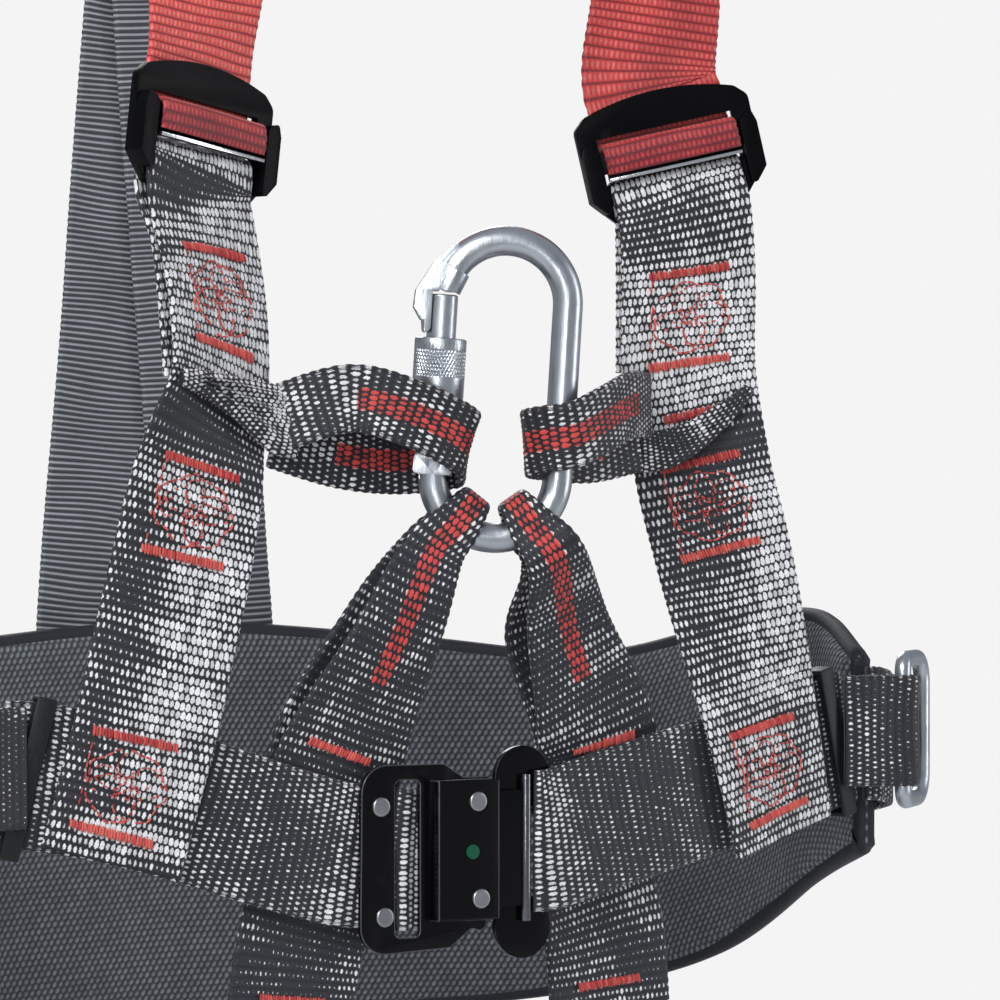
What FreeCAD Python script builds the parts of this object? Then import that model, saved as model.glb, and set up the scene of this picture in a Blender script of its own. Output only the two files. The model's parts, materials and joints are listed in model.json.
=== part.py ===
"""Full-body work harness with a positioning belt, built as webbing, pads, buckles, rings and a connector.

Millimetres. The wearer's waist centre is the origin: +X is the viewer's right when the harness is seen from
the front, the front faces -Y, and +Z is up. "side" is +1 for the viewer's right and -1 for the left.
"""

import FreeCAD, Part
import math
import os

V = FreeCAD.Vector
X_AXIS, Y_AXIS, Z_AXIS = V(1, 0, 0), V(0, 1, 0), V(0, 0, 1)
SIDES = {"right": 1, "left": -1}

# Driving dimensions
WEB_WIDTH = 45.0            # standard harness webbing
WEB_THICK = 2.4
LOOP_WIDTH = 21.0           # webbing folded in half lengthwise
LOOP_THICK = 2.6
STEPS = 3                   # lofted stretches between two points of a route

LEFT_DROP = 4.0             # how much lower the belt hangs at its left end

PAD_THICK = 11.0
BINDING = 4.0               # how far the sewn edge stands beyond the pad

CONNECTOR_CENTRE = V(6.3, -125.0, 119.4)
CONNECTOR_AZIMUTH = -25.0   # direction that its flat side faces
CONNECTOR_TILT = 3.5        # top leaning to the viewer's right
ROD_R = 4.8
BOW_R = 20.0                # both ends of the oval, on the rod's centre line
BOW_X = 1.0
BOW_Z = 27.5
GATE_X = BOW_X - BOW_R
GATE_R = 4.7
GATE_TOP = 29.0
GATE_BORE_R = 2.6
PIVOT_Z = -25.5
PIVOT_R = 1.8
RUN_CLEAR = 0.06            # radial running clearance
TANG_T = 4.0
SLEEVE_R = 8.3
SLEEVE_LOW, SLEEVE_HIGH = -4.5, 15.0
NOSE_STEP = 20.6            # the raised sleeve stops under this

ADJ_PLATE = 3.0
ADJ_WINDOW = 23.5           # half the width of its openings
ADJ_TRAVEL = 1.5            # the friction bar's slide
ADJUSTERS = {
    "right": (V(84.5, -103.0, 200.0), -20.0, 13.0),
    "left": (V(-88.5, -103.0, 200.0), 18.5, -8.0),
}

BUCKLE_BACK = -116.0        # rear face of the buckle's base plate, in Y
BUCKLE_Z = -29.0
BUCKLE_LEFT = -39.0
RIVET_R = 3.2
SHEET = 2.0

RING_R = 2.8                # side ring wire
RING_AXIS = V(172.5, -112.0, 6.0)
RING_DEPTH = 28.0
RING_HALF = 24.0
RING_AZIMUTH = 42.0         # how far the side ring lies back from +X

KEEPER_AT = V(148.5, -104.0, 2.4)
KEEPER_TURN = 14.0          # the belt's turn and rise where the keeper sits

BACK_LAYERS = {1: 109.6, -1: 112.6}     # Y of the two straps that cross at the back
DORSAL_Z = 326.0
DORSAL_Y = 117.0
DORSAL_PIN = V(0, DORSAL_Y + 7.5, DORSAL_Z - 6.0)

THIGH = V(97.0, -5.0, -236.0)
THIGH_RX, THIGH_RY = 88.0, 92.0
THIGH_RISE = 16.0           # how much higher the thigh ring is at the front
THIGH_ADJUSTER_AT = 62.0    # degrees round the thigh from the front outward
THIGH_PAD_IN = 7.0          # how far the pad lies inside the strap


# ---------------------------------------------------------------- webbing

def facing(azimuth, roll=0.0):
    """Width direction of a hanging strap that faces azimuth (0 is the front), its right end up by roll."""
    turn, lift = math.radians(azimuth), math.radians(roll)
    return V(math.cos(turn) * math.cos(lift), math.sin(turn) * math.cos(lift), math.sin(lift))


def between(rows, index, share):
    """Catmull-Rom value of a list of equal-length number rows."""
    ends = [rows[max(0, min(len(rows) - 1, index + k))] for k in (-1, 0, 1, 2)]
    result = []
    for before, start, end, after in zip(*ends):
        slope_in, slope_out = (end - before) / 2, (after - start) / 2
        a = 2 * start - 2 * end + slope_in + slope_out
        b = -3 * start + 3 * end - 2 * slope_in - slope_out
        result.append(((a * share + b) * share + slope_in) * share + start)
    return result


def smooth(rows, steps=STEPS):
    """The rows with extra ones put in along a smooth curve."""
    result = [between(rows, i, k / steps) for i in range(len(rows) - 1) for k in range(steps)]
    return result + [list(rows[-1])]


def ribbon(route, thick=WEB_THICK, upright=False):
    """Flat band along a route of (point, width direction, width); upright keeps the direction as given."""
    rows = smooth([[*point, *across, width] for point, across, width in route])
    points = [V(*row[:3]) for row in rows]
    sections = []
    for i, row in enumerate(rows):
        along = (points[min(i + 1, len(points) - 1)] - points[max(i - 1, 0)]).normalize()
        across = V(*row[3:6])
        if not upright:
            across = across - along * across.dot(along)
        across = across.normalize()
        out = along.cross(across).normalize() * (thick / 2)
        half = across * (row[6] / 2)
        corners = [half + out, out - half, -half - out, half - out, half + out]
        sections.append(Part.makePolygon([points[i] + corner for corner in corners]))
    return Part.makeLoft(sections, True, True)


def strap(points, across, width=WEB_WIDTH, thick=WEB_THICK):
    """Ribbon of one width; across is one direction or one for each point."""
    directions = across if isinstance(across, list) else [across] * len(points)
    return ribbon([(V(*p), a, width) for p, a in zip(points, directions)], thick)


def mirrored(shape):
    return shape.mirror(V(0, 0, 0), X_AXIS)


# ---------------------------------------------------------------- small solids

def box(low, high):
    return Part.makeBox(high[0] - low[0], high[1] - low[1], high[2] - low[2], V(*low))


def plate(outline, y_front, y_back):
    """Flat plate in the XZ plane from its outline points."""
    corners = [V(x, y_front, z) for x, z in outline]
    face = Part.Face(Part.makePolygon([*corners, corners[0]]))
    return face.extrude(V(0, y_back - y_front, 0))


def round_edges(shape, radius, along=None):
    """Fillet the edges, or only the straight ones that run along an axis."""
    edges = shape.Edges
    if along is not None:
        edges = [e for e in edges if e.Curve.TypeId == "Part::GeomLine"
                 and abs(e.Curve.Direction.dot(along)) > 0.99]
    return shape.makeFillet(radius, edges)


def rod(start, end, radius):
    start, end = V(*start), V(*end)
    return Part.makeCylinder(radius, start.distanceToPoint(end), start, end - start)


def placed(shape, origin, azimuth, roll=0.0):
    """Local X across, local -Y outward, local Z up, put at origin with its face to azimuth."""
    turn = FreeCAD.Rotation(Z_AXIS, azimuth).multiply(FreeCAD.Rotation(Y_AXIS, -roll))
    result = shape.copy()
    result.Placement = FreeCAD.Placement(origin, turn)
    return result


def export(name, shape):
    shape.exportStep(f"parts/{name}.step")


# ---------------------------------------------------------------- adjusters

def adjuster_frame():
    """Stamped frame: arched upper plate, strap window, lower bar and two raised ears."""
    crown = Part.Arc(V(-26, 0, 16.2), V(0, 0, 20.3), V(26, 0, 16.2)).toShape()
    left = [V(-26, 0, 16.2), V(-30, 0, 12.5), V(-30, 0, -12), V(-21, 0, -22)]
    lower = [V(-21, 0, -22), V(21, 0, -22), V(30, 0, -12), V(30, 0, 12.5), V(26, 0, 16.2)]
    outline = Part.Wire([crown, *Part.makePolygon(lower[::-1]).Edges, *Part.makePolygon(left[::-1]).Edges])
    body = Part.Face(outline).extrude(V(0, ADJ_PLATE, 0))
    body.translate(V(0, -ADJ_PLATE / 2, 0))
    body = round_edges(body, 3.4, Y_AXIS)
    ear_front, ear_back = -6.2, ADJ_PLATE / 2
    for side in (1, -1):
        outline = [(24.2, 4.5), (28.6, 7.5), (30, 3), (30, -12), (24.2, -18.6)]
        ear = plate([(side * x, z) for x, z in outline], ear_front, ear_back)
        body = body.fuse(round_edges(ear, 1.2, Y_AXIS))
    body = body.cut(box((-ADJ_WINDOW, -8, -7.2), (ADJ_WINDOW, 8, 8.3)))
    body = body.cut(box((-22.9, -8, -30), (22.9, 8, -13.2)))
    for side in (1, -1):
        low, high = sorted((side * 23.0, side * 27.2))
        body = body.cut(box((low, -5.3, -4.2 - ADJ_TRAVEL), (high, -1.7, 4.2)))
    return body.removeSplitter()


def adjuster_bar():
    """Friction bar with a polished lower lip, its ends held in the ears."""
    bar = box((-26.8, -4.9, -3.6), (26.8, -2.1, 3.6))
    bar = round_edges(bar, 0.8, X_AXIS)
    lip = box((-22.8, -6.9, -6.3), (22.8, -5.9, -5.3))
    web = box((-22.8, -5.9, -6.1), (22.8, -4.9, -5.5))
    hanger = box((-22.8, -4.9, -6.1), (22.8, -3.7, -3.0))
    return bar.fuse([lip, web, hanger]).removeSplitter()


def adjuster_roll():
    """Webbing turned over the friction bar, open at the back where the strap arrives."""
    points = [(0, -0.5, -1.5), (0, -0.3, 3.2), (0, -2.4, 5.2), (0, -5.6, 4.9), (0, -6.7, 1.5),
              (0, -6.7, -2.2), (0, -6.3, -4.0)]
    return strap(points, X_AXIS, WEB_WIDTH - 0.6, 1.7)


# ---------------------------------------------------------------- connector

def connector_place(shape):
    return placed(shape, CONNECTOR_CENTRE, CONNECTOR_AZIMUTH, -CONNECTOR_TILT)


def on_connector(across, outward, up):
    """World point from the connector's own directions; outward is towards the front."""
    turn = FreeCAD.Rotation(Z_AXIS, CONNECTOR_AZIMUTH).multiply(FreeCAD.Rotation(Y_AXIS, CONNECTOR_TILT))
    return CONNECTOR_CENTRE + turn.multVec(V(across, -outward, up))


def bow(z, start, end):
    """Piece of the rod bent round (BOW_X, z), from angle start to end, counted from +X towards +Z."""
    ring = Part.makeTorus(BOW_R, ROD_R, V(0, 0, 0), Z_AXIS, -180, 180, end - start)
    ring.rotate(V(0, 0, 0), Z_AXIS, start)
    ring.rotate(V(0, 0, 0), X_AXIS, 90)
    ring.translate(V(BOW_X, 0, z))
    return ring


def connector_body():
    """Bent rod, with a hooked nose at the top and a fork at the bottom for the gate."""
    body = bow(BOW_Z, 0, 150).fuse(bow(-BOW_Z, 180, 360))
    spine_x = BOW_X + BOW_R
    body = body.fuse(rod((spine_x, 0, -BOW_Z), (spine_x, 0, BOW_Z), ROD_R))
    nose = [(-14.2, 34.0), (-15.0, 46.5), (-22.5, 39.5), (-28.0, 30.0), (-28.4, 24.5), (-25.6, 20.0),
            (-25.2, 17.4), (-24.2, 16.0), (-22.0, 19.0), (-20.6, 30.4)]
    hook = round_edges(plate(nose, -3.6, 3.6), 0.9, Y_AXIS)
    tip_ring = Part.makeCylinder(16, 12, V(GATE_X, 0, NOSE_STEP - 12), Z_AXIS)
    hook = hook.cut(tip_ring.cut(Part.makeCylinder(SLEEVE_R - 1.5, 12, V(GATE_X, 0, NOSE_STEP - 12), Z_AXIS)))
    hook = hook.fuse(rod((GATE_X + 0.6, 0, 30.2), (GATE_X + 3.6, 0, 37.0), ROD_R - 0.2))
    body = body.fuse(hook)
    fork = [(-25.4, -28.5), (-25.0, -21.6), (-18.0, -21.6), (-13.2, -23.6), (-13.0, -28.5)]
    cheeks = round_edges(plate(fork, -ROD_R, ROD_R), 1.8, Y_AXIS)
    body = body.fuse(cheeks)
    slot = box((-27, -TANG_T / 2 - 0.15, -30.2), (-9, TANG_T / 2 + 0.15, -15))
    body = body.cut(slot)
    body = body.cut(Part.makeCylinder(GATE_R + 0.5, 60, V(GATE_X, 0, -21.4), Z_AXIS)
                    .cut(box((-30, -9, 30.0), (0, 9, 60))))
    body = body.cut(rod((GATE_X, -8, PIVOT_Z), (GATE_X, 8, PIVOT_Z), PIVOT_R))
    return body.removeSplitter()


def gate():
    """Tube that closes the opening, with a tang for the pivot and a bore for its spring."""
    tube = Part.makeCylinder(GATE_R, GATE_TOP + 20.6, V(GATE_X, 0, -20.6), Z_AXIS)
    tube = tube.makeFillet(0.7, [e for e in tube.Edges if abs(e.BoundBox.ZMin - GATE_TOP) < 0.01])
    tang = plate([(-22.0, -18), (-16.0, -18), (-16.0, PIVOT_Z), (-22.0, PIVOT_Z)], -TANG_T / 2, TANG_T / 2)
    tang = tang.fuse(rod((GATE_X, -TANG_T / 2, PIVOT_Z), (GATE_X, TANG_T / 2, PIVOT_Z), 3.0))
    bore = Part.makeCylinder(GATE_BORE_R, 26, V(GATE_X, 0, -14), Z_AXIS)
    hole = rod((GATE_X, -8, PIVOT_Z), (GATE_X, 8, PIVOT_Z), PIVOT_R + RUN_CLEAR)
    return tube.fuse(tang).cut(bore).cut(hole).removeSplitter()


def sleeve():
    """Screw sleeve in its lower, unlocked position: plain ends and a knurled middle band."""
    height = SLEEVE_HIGH - SLEEVE_LOW
    outer = Part.makeCylinder(SLEEVE_R, height, V(GATE_X, 0, SLEEVE_LOW), Z_AXIS)
    outer = outer.makeFillet(0.6, [e for e in outer.Edges if e.Curve.TypeId == "Part::GeomCircle"])
    inner = Part.makeCylinder(GATE_R + RUN_CLEAR, height + 2, V(GATE_X, 0, SLEEVE_LOW - 1), Z_AXIS)
    relief_h = 5.2
    relief = Part.makeCylinder(SLEEVE_R - 1.2, relief_h, V(GATE_X, 0, SLEEVE_HIGH - relief_h), Z_AXIS)
    return outer.cut(inner).cut(relief).removeSplitter()


# ---------------------------------------------------------------- waist buckle

def layer(index):
    """Front and back Y of a sheet, counted forward from the base plate."""
    back = BUCKLE_BACK - index * (SHEET + 0.3)
    return back - SHEET, back


def buckle_frame():
    """Base plate with the slot for the left belt."""
    front, back = layer(0)
    outline = [(BUCKLE_LEFT, 0), (-9, 0), (-2, -4.5), (8, -4.5), (8, -48), (5, -54.5), (1, -53.0), (-7, -59),
               (BUCKLE_LEFT - 0.6, -60.5)]
    base = plate(outline, front, back)
    upright = [e for e in base.Edges if e.BoundBox.YLength > 1]
    base = base.makeFillet(2.2, [e for e in upright if e.BoundBox.XMin > BUCKLE_LEFT + 1])
    upright = [e for e in base.Edges if e.BoundBox.YLength > 1 and e.BoundBox.XMax < BUCKLE_LEFT + 1]
    base = base.makeFillet(9.0, upright)
    base = base.cut(round_edges(box((-27, front - 1, -55), (-18, back + 1, -5)), 2.0, Y_AXIS))
    post = box((-7, layer(1)[0] + 0.1, BUCKLE_Z - 1.5), (3, front + 0.1, BUCKLE_Z + 1.5))
    return base.fuse(post).removeSplitter()


def buckle_cover():
    """Pressed cover over the catch, open at its right side for the tongue."""
    front, back = layer(3)
    top, bottom = -5.0, -50.0
    skin = round_edges(box((-15, front, bottom), (7.3, layer(0)[0] - 0.15, top)), 1.0, X_AXIS)
    room = box((-13, back, bottom + 2.2), (20, 0, top - 2.2))
    vent = box((5.0, layer(1)[0] - 0.25, bottom - 1), (20, 0, top + 1))
    return skin.cut(room).cut(vent)


def buckle_tongue():
    """Flat tongue with the bar that the right belt is turned round."""
    front, back = layer(2)
    blade = round_edges(box((-9, front, -46), (17, back, -9)), 1.0, Y_AXIS)
    bar_y = front + 0.3
    bar = rod((18.4, bar_y, -51.0), (18.4, bar_y, -4.0), 1.7)
    neck = box((16, front + 0.2, -44), (18.2, back - 0.2, -11))
    return blade.fuse([neck, bar]).removeSplitter()


def release_lever(up):
    """Sprung catch plate, with a rounded lobe for the finger; up is +1 for the upper one."""
    front, back = layer(1)
    inner = BUCKLE_Z + up * 7.0
    lobe_z = BUCKLE_Z + up * 24.0
    lobe = rod((18.4, front - 0.1, lobe_z), (18.4, back, lobe_z), 10.2)
    arm = plate([(-8, inner), (6.2, inner), (14, lobe_z - up * 6), (14, lobe_z), (4, BUCKLE_Z + up * 17.5),
                 (-8, BUCKLE_Z + up * 17.5)], front, back)
    return lobe.fuse(arm).removeSplitter()


def release_spring(up):
    """The coil between the post and a lever, as the plain cylinder that it fills."""
    middle = sum(layer(1)) / 2
    low, high = sorted((BUCKLE_Z + up * 1.6, BUCKLE_Z + up * 6.9))
    return rod((-2, middle, low), (-2, middle, high), 0.9)


def buckle_rivets():
    """Four round heads: two on the base plate and two on the cover."""
    heads = []
    for x, z, face in ((-32.2, -13.2, layer(0)[0]), (-30.9, -48.2, layer(0)[0]),
                       (-0.8, -12, layer(3)[0]), (0.3, -43, layer(3)[0])):
        head = rod((x, face - 1.0, z), (x, face, z), RIVET_R)
        heads.append(head.makeFillet(0.8, [e for e in head.Edges if abs(e.BoundBox.YMin - face + 1.0) < 0.01
                                           and e.Curve.TypeId == "Part::GeomCircle"]))
    return Part.makeCompound(heads)


# ---------------------------------------------------------------- rings

def side_ring():
    """Oblong ring in its own plane: straight pivot bar on local Z, the bow towards local +X."""
    corner = 9.0
    half = corner / 2
    pieces = []
    bends = [(V(RING_DEPTH - corner, 0, RING_HALF - corner), 0, corner),
             (V(RING_DEPTH - corner, 0, corner - RING_HALF), -90, corner),
             (V(half, 0, RING_HALF - half), 90, half), (V(half, 0, half - RING_HALF), 180, half)]
    for centre, start, radius in bends:
        bend = Part.makeTorus(radius, RING_R, V(0, 0, 0), Z_AXIS, -180, 180, 90)
        bend.rotate(V(0, 0, 0), Z_AXIS, start)
        bend.rotate(V(0, 0, 0), X_AXIS, 90)
        bend.translate(centre)
        pieces.append(bend)
    pieces.append(rod((0, 0, half - RING_HALF), (0, 0, RING_HALF - half), RING_R))
    pieces.append(rod((RING_DEPTH, 0, corner - RING_HALF), (RING_DEPTH, 0, RING_HALF - corner), RING_R))
    for z in (RING_HALF, -RING_HALF):
        pieces.append(rod((half, 0, z), (RING_DEPTH - corner, 0, z), RING_R))
    return pieces[0].fuse(pieces[1:]).removeSplitter()


def dorsal_ring():
    """Forged D-ring, hanging from its straight pin."""
    half, drop = 26.0, 34.0
    wire_r = 4.5
    bend = Part.makeTorus(half, wire_r, V(0, 0, 0), Z_AXIS, -180, 180, 180)
    bend.rotate(V(0, 0, 0), Z_AXIS, 180)
    bend.rotate(V(0, 0, 0), X_AXIS, 90)
    bend.translate(V(0, 0, -drop))
    parts = [rod((side * half, 0, -drop), (side * half, 0, 0), wire_r) for side in (1, -1)]
    parts.append(rod((-half - wire_r, 0, 0), (half + wire_r, 0, 0), 4.0))
    ring = bend.fuse(parts).removeSplitter()
    ring.translate(DORSAL_PIN)
    return ring


def dorsal_plate():
    """Plate behind the crossed straps, with the two lugs that hold the ring's pin."""
    half_w, half_h = 36.0, 40.0
    outline = [(-half_w, 18), (-22, half_h), (22, half_h), (half_w, 18), (half_w, -18), (22, -half_h),
               (-22, -half_h), (-half_w, -18)]
    body = plate([(x, DORSAL_Z + z) for x, z in outline], DORSAL_Y - 2.0, DORSAL_Y + 2.0)
    body = round_edges(body, 5.0, Y_AXIS)
    for side in (1, -1):
        low, high = sorted((side * 10.0, side * 18.0))
        lug = box((low, DORSAL_Y + 1.0, DORSAL_PIN.z - 7), (high, DORSAL_PIN.y + 6.5, DORSAL_PIN.z + 7))
        body = body.fuse(round_edges(lug, 2.0, X_AXIS))
    hole = rod((-40, DORSAL_PIN.y, DORSAL_PIN.z), (40, DORSAL_PIN.y, DORSAL_PIN.z), 4.0 + RUN_CLEAR)
    return body.cut(hole).removeSplitter()


# ---------------------------------------------------------------- straps of the upper body

def in_adjuster(side, across, outward, up):
    """World point from an adjuster's own directions."""
    centre, azimuth, roll = ADJUSTERS["right" if side > 0 else "left"]
    turn = FreeCAD.Rotation(Z_AXIS, azimuth).multiply(FreeCAD.Rotation(Y_AXIS, -roll))
    return centre + turn.multVec(V(across, -outward, up))


def chest_strap(side):
    """From the adjuster's lower bar to the belt, with the twist that each strap takes."""
    azimuth, roll = ADJUSTERS["right" if side > 0 else "left"][1:]
    if side > 0:
        rows = [((89.6, -107.5, 158), -18, 5), ((89.6, -107.5, 126), -20, -2), ((93.8, -109.5, 94), -25, 0),
                ((99, -113, 68), -25, 2), ((106, -118, 32), -7, 5), ((112, -118.6, 8), 5, 7),
                ((122, -115.2, -28), 12, 12)]
    else:
        rows = [((-86.4, -107.5, 158), 22, -4), ((-83.6, -107.5, 124), 22, 2), ((-89.6, -109.5, 100), 10, 6),
                ((-96, -112.5, 80), -3, 2), ((-103, -115.5, 56), -10, -2), ((-113, -117.0, 18), -12, -6),
                ((-124.5, -114.0, -28), -12, -8)]
    start = facing(azimuth, roll)
    over_bar = [(in_adjuster(side, 0, out, up), start, WEB_WIDTH) for out, up in ((3.3, -9.6), (3.9, -22))]
    return ribbon(over_bar + [(V(*point), facing(turn, lift), WEB_WIDTH) for point, turn, lift in rows])


def shoulder_strap(side):
    """From behind the adjuster over the shoulder to the dorsal plate."""
    azimuth, roll = ADJUSTERS["right" if side > 0 else "left"][1:]
    lower = [in_adjuster(side, 0, -3.1, v) for v in (1.0, 14.0, 27.0)]
    layer_y = BACK_LAYERS[side]
    upper = [(83.0, -98.0, 262), (80.0, -88.0, 320), (75, -66, 378), (69, -30, 418), (62, 12, 430),
             (53, 55, 418), (38, 90, 388), (22, layer_y - 2, 352), (9, layer_y, 312)]
    start = facing(azimuth, roll)
    calm = facing(azimuth * 0.4)
    across = [start, start, start, calm, X_AXIS, X_AXIS, V(1, -0.15 * side, 0.1 * side),
              V(1, -0.2 * side, -0.1 * side), V(1, -0.15 * side, -0.25 * side), V(1, 0, -0.35 * side),
              V(1, 0, -0.35 * side), V(1, 0, -0.3 * side)]
    points = [*lower, *[V(side * x, y, z) for x, y, z in upper]]
    return ribbon([(p, a, WEB_WIDTH) for p, a in zip(points, across)])


def back_strap(side):
    """Dark strap from the dorsal plate down to the belt, outside the pad."""
    layer_y = BACK_LAYERS[side]
    points = [(side * 1.6, layer_y, 300), (side * 9.5, layer_y, 205), (side * 17.5, layer_y, 110),
              (side * 24, layer_y, 35), (side * 27, layer_y, -48)]
    return strap(points, V(1, 0, side * 0.085))


def chest_loop(side):
    """Folded webbing from the chest strap's inner edge round one leg of the connector and back."""
    if side > 0:
        leg = on_connector(BOW_X + BOW_R, 0, -14.0)
        root = V(68, -113.5, 112)
        heights = (5.0, 6.7, 3.5, -2.0, -3.5, -5.0, -6.0, -6.6, -3.0)
        lean = (0.1, 0.2, 0.27, 0.28, 0.2, 0.1, 0.0, 0.0, 0.0)
    else:
        leg = on_connector(GATE_X, 0, -18.0)
        root = V(-62.5, -105, 114)
        heights = (3.0, 9.5, 4.5, -3.0, -6.5, -8.5, -10.0, -8.0, -2.0)
        lean = (0.0, 0.1, 0.36, 0.42, 0.2, 0.0, 0.0, 0.0, 0.0)
    run = leg - root
    run.z = 0
    along = V(run).normalize()
    front = V(along.y, -along.x, 0) * side
    front = front if front.y < 0 else front * -1
    reach = run.Length
    plan = [(0, 2.2), (reach * 0.42, 8.5), (reach * 0.8, 12.2), (reach + 6.0, 10.2), (reach + 10.3, 1.5),
            (reach + 7.0, -8.0), (reach * 0.8, -11.0), (reach * 0.42, -7.0), (0, -2.2)]
    level = (root.z * 0.35 + leg.z * 0.65)
    rows = []
    for (distance, off), height, tip in zip(plan, heights, lean):
        point = root + along * distance + front * off
        point.z = level + height
        rows.append((point, V(0, 0, 1) + along * tip, LOOP_WIDTH))
    return ribbon(rows, LOOP_THICK)


def ventral_loop(side):
    """Folded webbing from behind the belt up round the connector's lower bow and back."""
    angle = math.radians(308 if side > 0 else 234)
    bar = (BOW_X + BOW_R * math.cos(angle), -BOW_Z + BOW_R * math.sin(angle))
    radial = (math.cos(angle), math.sin(angle))
    tangent = on_connector(-radial[1] * side, 0, radial[0] * side) - CONNECTOR_CENTRE
    if tangent.x < 0:
        tangent = tangent * -1

    def around(out, away):
        return on_connector(bar[0] + radial[0] * away, out, bar[1] + radial[1] * away)

    belt_x = 52.0 if side > 0 else -42.0
    foot_x = 49.0 * side
    mid_front = V(34 if side > 0 else -28, -122.5, 42)
    mid_rear = V(33 if side > 0 else -27, -109.5, 42)
    rows = [(V(foot_x, -110.9, -21), X_AXIS, WEB_WIDTH), (V(belt_x, -111.4, 4), X_AXIS, WEB_WIDTH),
            (mid_front, V(1, 0, 0.25 * side), 30.0),
            (around(9.8, 13), tangent, 20.0), (around(8.4, 0.5), tangent, 15.5),
            (around(5.2, -9.2), tangent, 10.5), (around(-5.2, -9.2), tangent, 10.5),
            (around(-8.4, 0.5), tangent, 15.5),
            (around(-9.4, 13), tangent, 20.0),
            (mid_rear, V(1, 0, 0.25 * side), 30.0), (V(belt_x, -107.9, 8), X_AXIS, WEB_WIDTH),
            (V(foot_x, -107.6, -21), X_AXIS, WEB_WIDTH)]
    return ribbon(rows, LOOP_THICK)


# ---------------------------------------------------------------- belt and pad

BELT_RIGHT = [(25.8, -122.8, -25.3), (34, -122.2, -23.5), (58, -119.6, -18), (90, -115.6, -11),
              (122, -110.4, -4), (145, -104.9, 1.5), (156, -101.8, 4)]
BELT_LEFT = [(-17, -114.3, -30.5), (-30, -114.3, -29.5), (-46, -114.8, -27.5), (-70, -116.0, -21),
             (-98, -114.4, -12), (-124, -110.0, -5), (-146, -104.6, -1), (-156, -101.8, 0)]
BELT_REAR = [(166, -99.2, 4.6), (174, -96.4, 4), (186.5, -82, 1), (193, -42, -5), (187, 12, -12),
             (157, 66, -22), (97, 105, -28), (54, 115.8, -30), (0, 116.6, -30)]

PAD_PLAN = [((178, -81), 30, -36), ((184, -40), 44, -50), ((178, 10), 38, -78), ((150, 57), 27, -94),
            ((90, 91), 33, -102), ((0, 101), 39, -105)]


def whole_width(half):
    """A route over the right half, carried on over the left one."""
    return [*half, *[(-p[0], *p[1:]) for p in half[-2::-1]]]


def belt_front(rows):
    return strap(rows, V(0, 0, 1))


def belt_rear():
    left = [(-x, y, z - LEFT_DROP * max(0.0, 1 - (y + 101) / 60)) for x, y, z in BELT_REAR[-2::-1]]
    return strap([*BELT_REAR, *left], Z_AXIS)


def pad_stations():
    right = [(x, y, top, bottom) for (x, y), top, bottom in PAD_PLAN]
    return whole_width(right)


def back_pad():
    rows = [(V(x, y, (top + bottom) / 2), Z_AXIS, top - bottom) for x, y, top, bottom in pad_stations()]
    return ribbon(rows, PAD_THICK, upright=True)


def pad_binding():
    """Sewn edging along the top and bottom of the pad."""
    strips = []
    for edge, sign in ((2, 1), (3, -1)):
        off = sign * (BINDING / 2 + 0.3)
        rows = [(V(s[0], s[1], s[edge] + off), Z_AXIS, BINDING) for s in pad_stations()]
        strips.append(ribbon(rows, PAD_THICK + 1.0, upright=True))
    return Part.makeCompound(strips)


def ring_tab():
    """Webbing folded round the side ring's pivot bar and sewn to the belt (right side)."""
    points = [(151, -108.6), (158, -110.4), (167, -115.3), (173.6, -116.6), (177.2, -112.2), (174.6, -107.8),
              (168, -106.0), (161, -105.4)]
    return strap([(x, y, RING_AXIS.z) for x, y in points], Z_AXIS, WEB_WIDTH - 8)


def keeper():
    """Flat band round the belt, just inboard of the side ring (right side)."""
    half_h, half_d, wall = 24.2, 2.4, 1.4
    outer = box((-3.2, -half_d - wall, -half_h - wall), (3.2, half_d + wall, half_h + wall))
    inner = box((-5, -half_d, -half_h), (5, half_d, half_h))
    return placed(outer.cut(inner), KEEPER_AT, KEEPER_TURN, KEEPER_TURN)


# ---------------------------------------------------------------- legs

def thigh_point(theta, offset=0.0):
    """Point on the right thigh ring; theta runs from the front outward, in degrees."""
    turn = math.radians(theta)
    out = V(math.sin(turn), -math.cos(turn), 0)
    point = V(THIGH.x + THIGH_RX * out.x, THIGH.y + THIGH_RY * out.y, THIGH.z + THIGH_RISE * math.cos(turn))
    return point + out * offset


def thigh_band(start, end, offset, width, thick):
    count = max(4, int(abs(end - start) / 24))
    rows = []
    for i in range(count + 1):
        theta = start + (end - start) * i / count
        rows.append((thigh_point(theta, offset), V(0, 0, 1), width))
    return ribbon(rows, thick)


def leg_adjuster(shape):
    """A strap adjuster turned so that the thigh webbing runs through it sideways (right side)."""
    turned = shape.copy()
    turned.rotate(V(0, 0, 0), Y_AXIS, 90)
    result = turned.copy()
    seat = FreeCAD.Placement(thigh_point(THIGH_ADJUSTER_AT, 3.0), FreeCAD.Rotation(Z_AXIS, THIGH_ADJUSTER_AT))
    result.Placement = seat.multiply(turned.Placement)
    return result


def leg_strap():
    """From behind the belt down to the front of the thigh ring (right side)."""
    points = [(50, -109.2, -36), (57, -108, -62), (62, -105.5, -110), (70, -103.5, -160), (80, -101.6, -205),
              (82, -101.4, -238)]
    return strap(points, X_AXIS)


def rear_riser():
    """From the belt's lower edge down to the back of the thigh ring (right side)."""
    points = [(80, 113.0, -53), (84, 108.5, -95), (89, 101, -150), (94, 93.5, -205), (96, 91.2, -262)]
    return strap(points, X_AXIS)


# ---------------------------------------------------------------- build

os.makedirs("parts", exist_ok=True)

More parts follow.
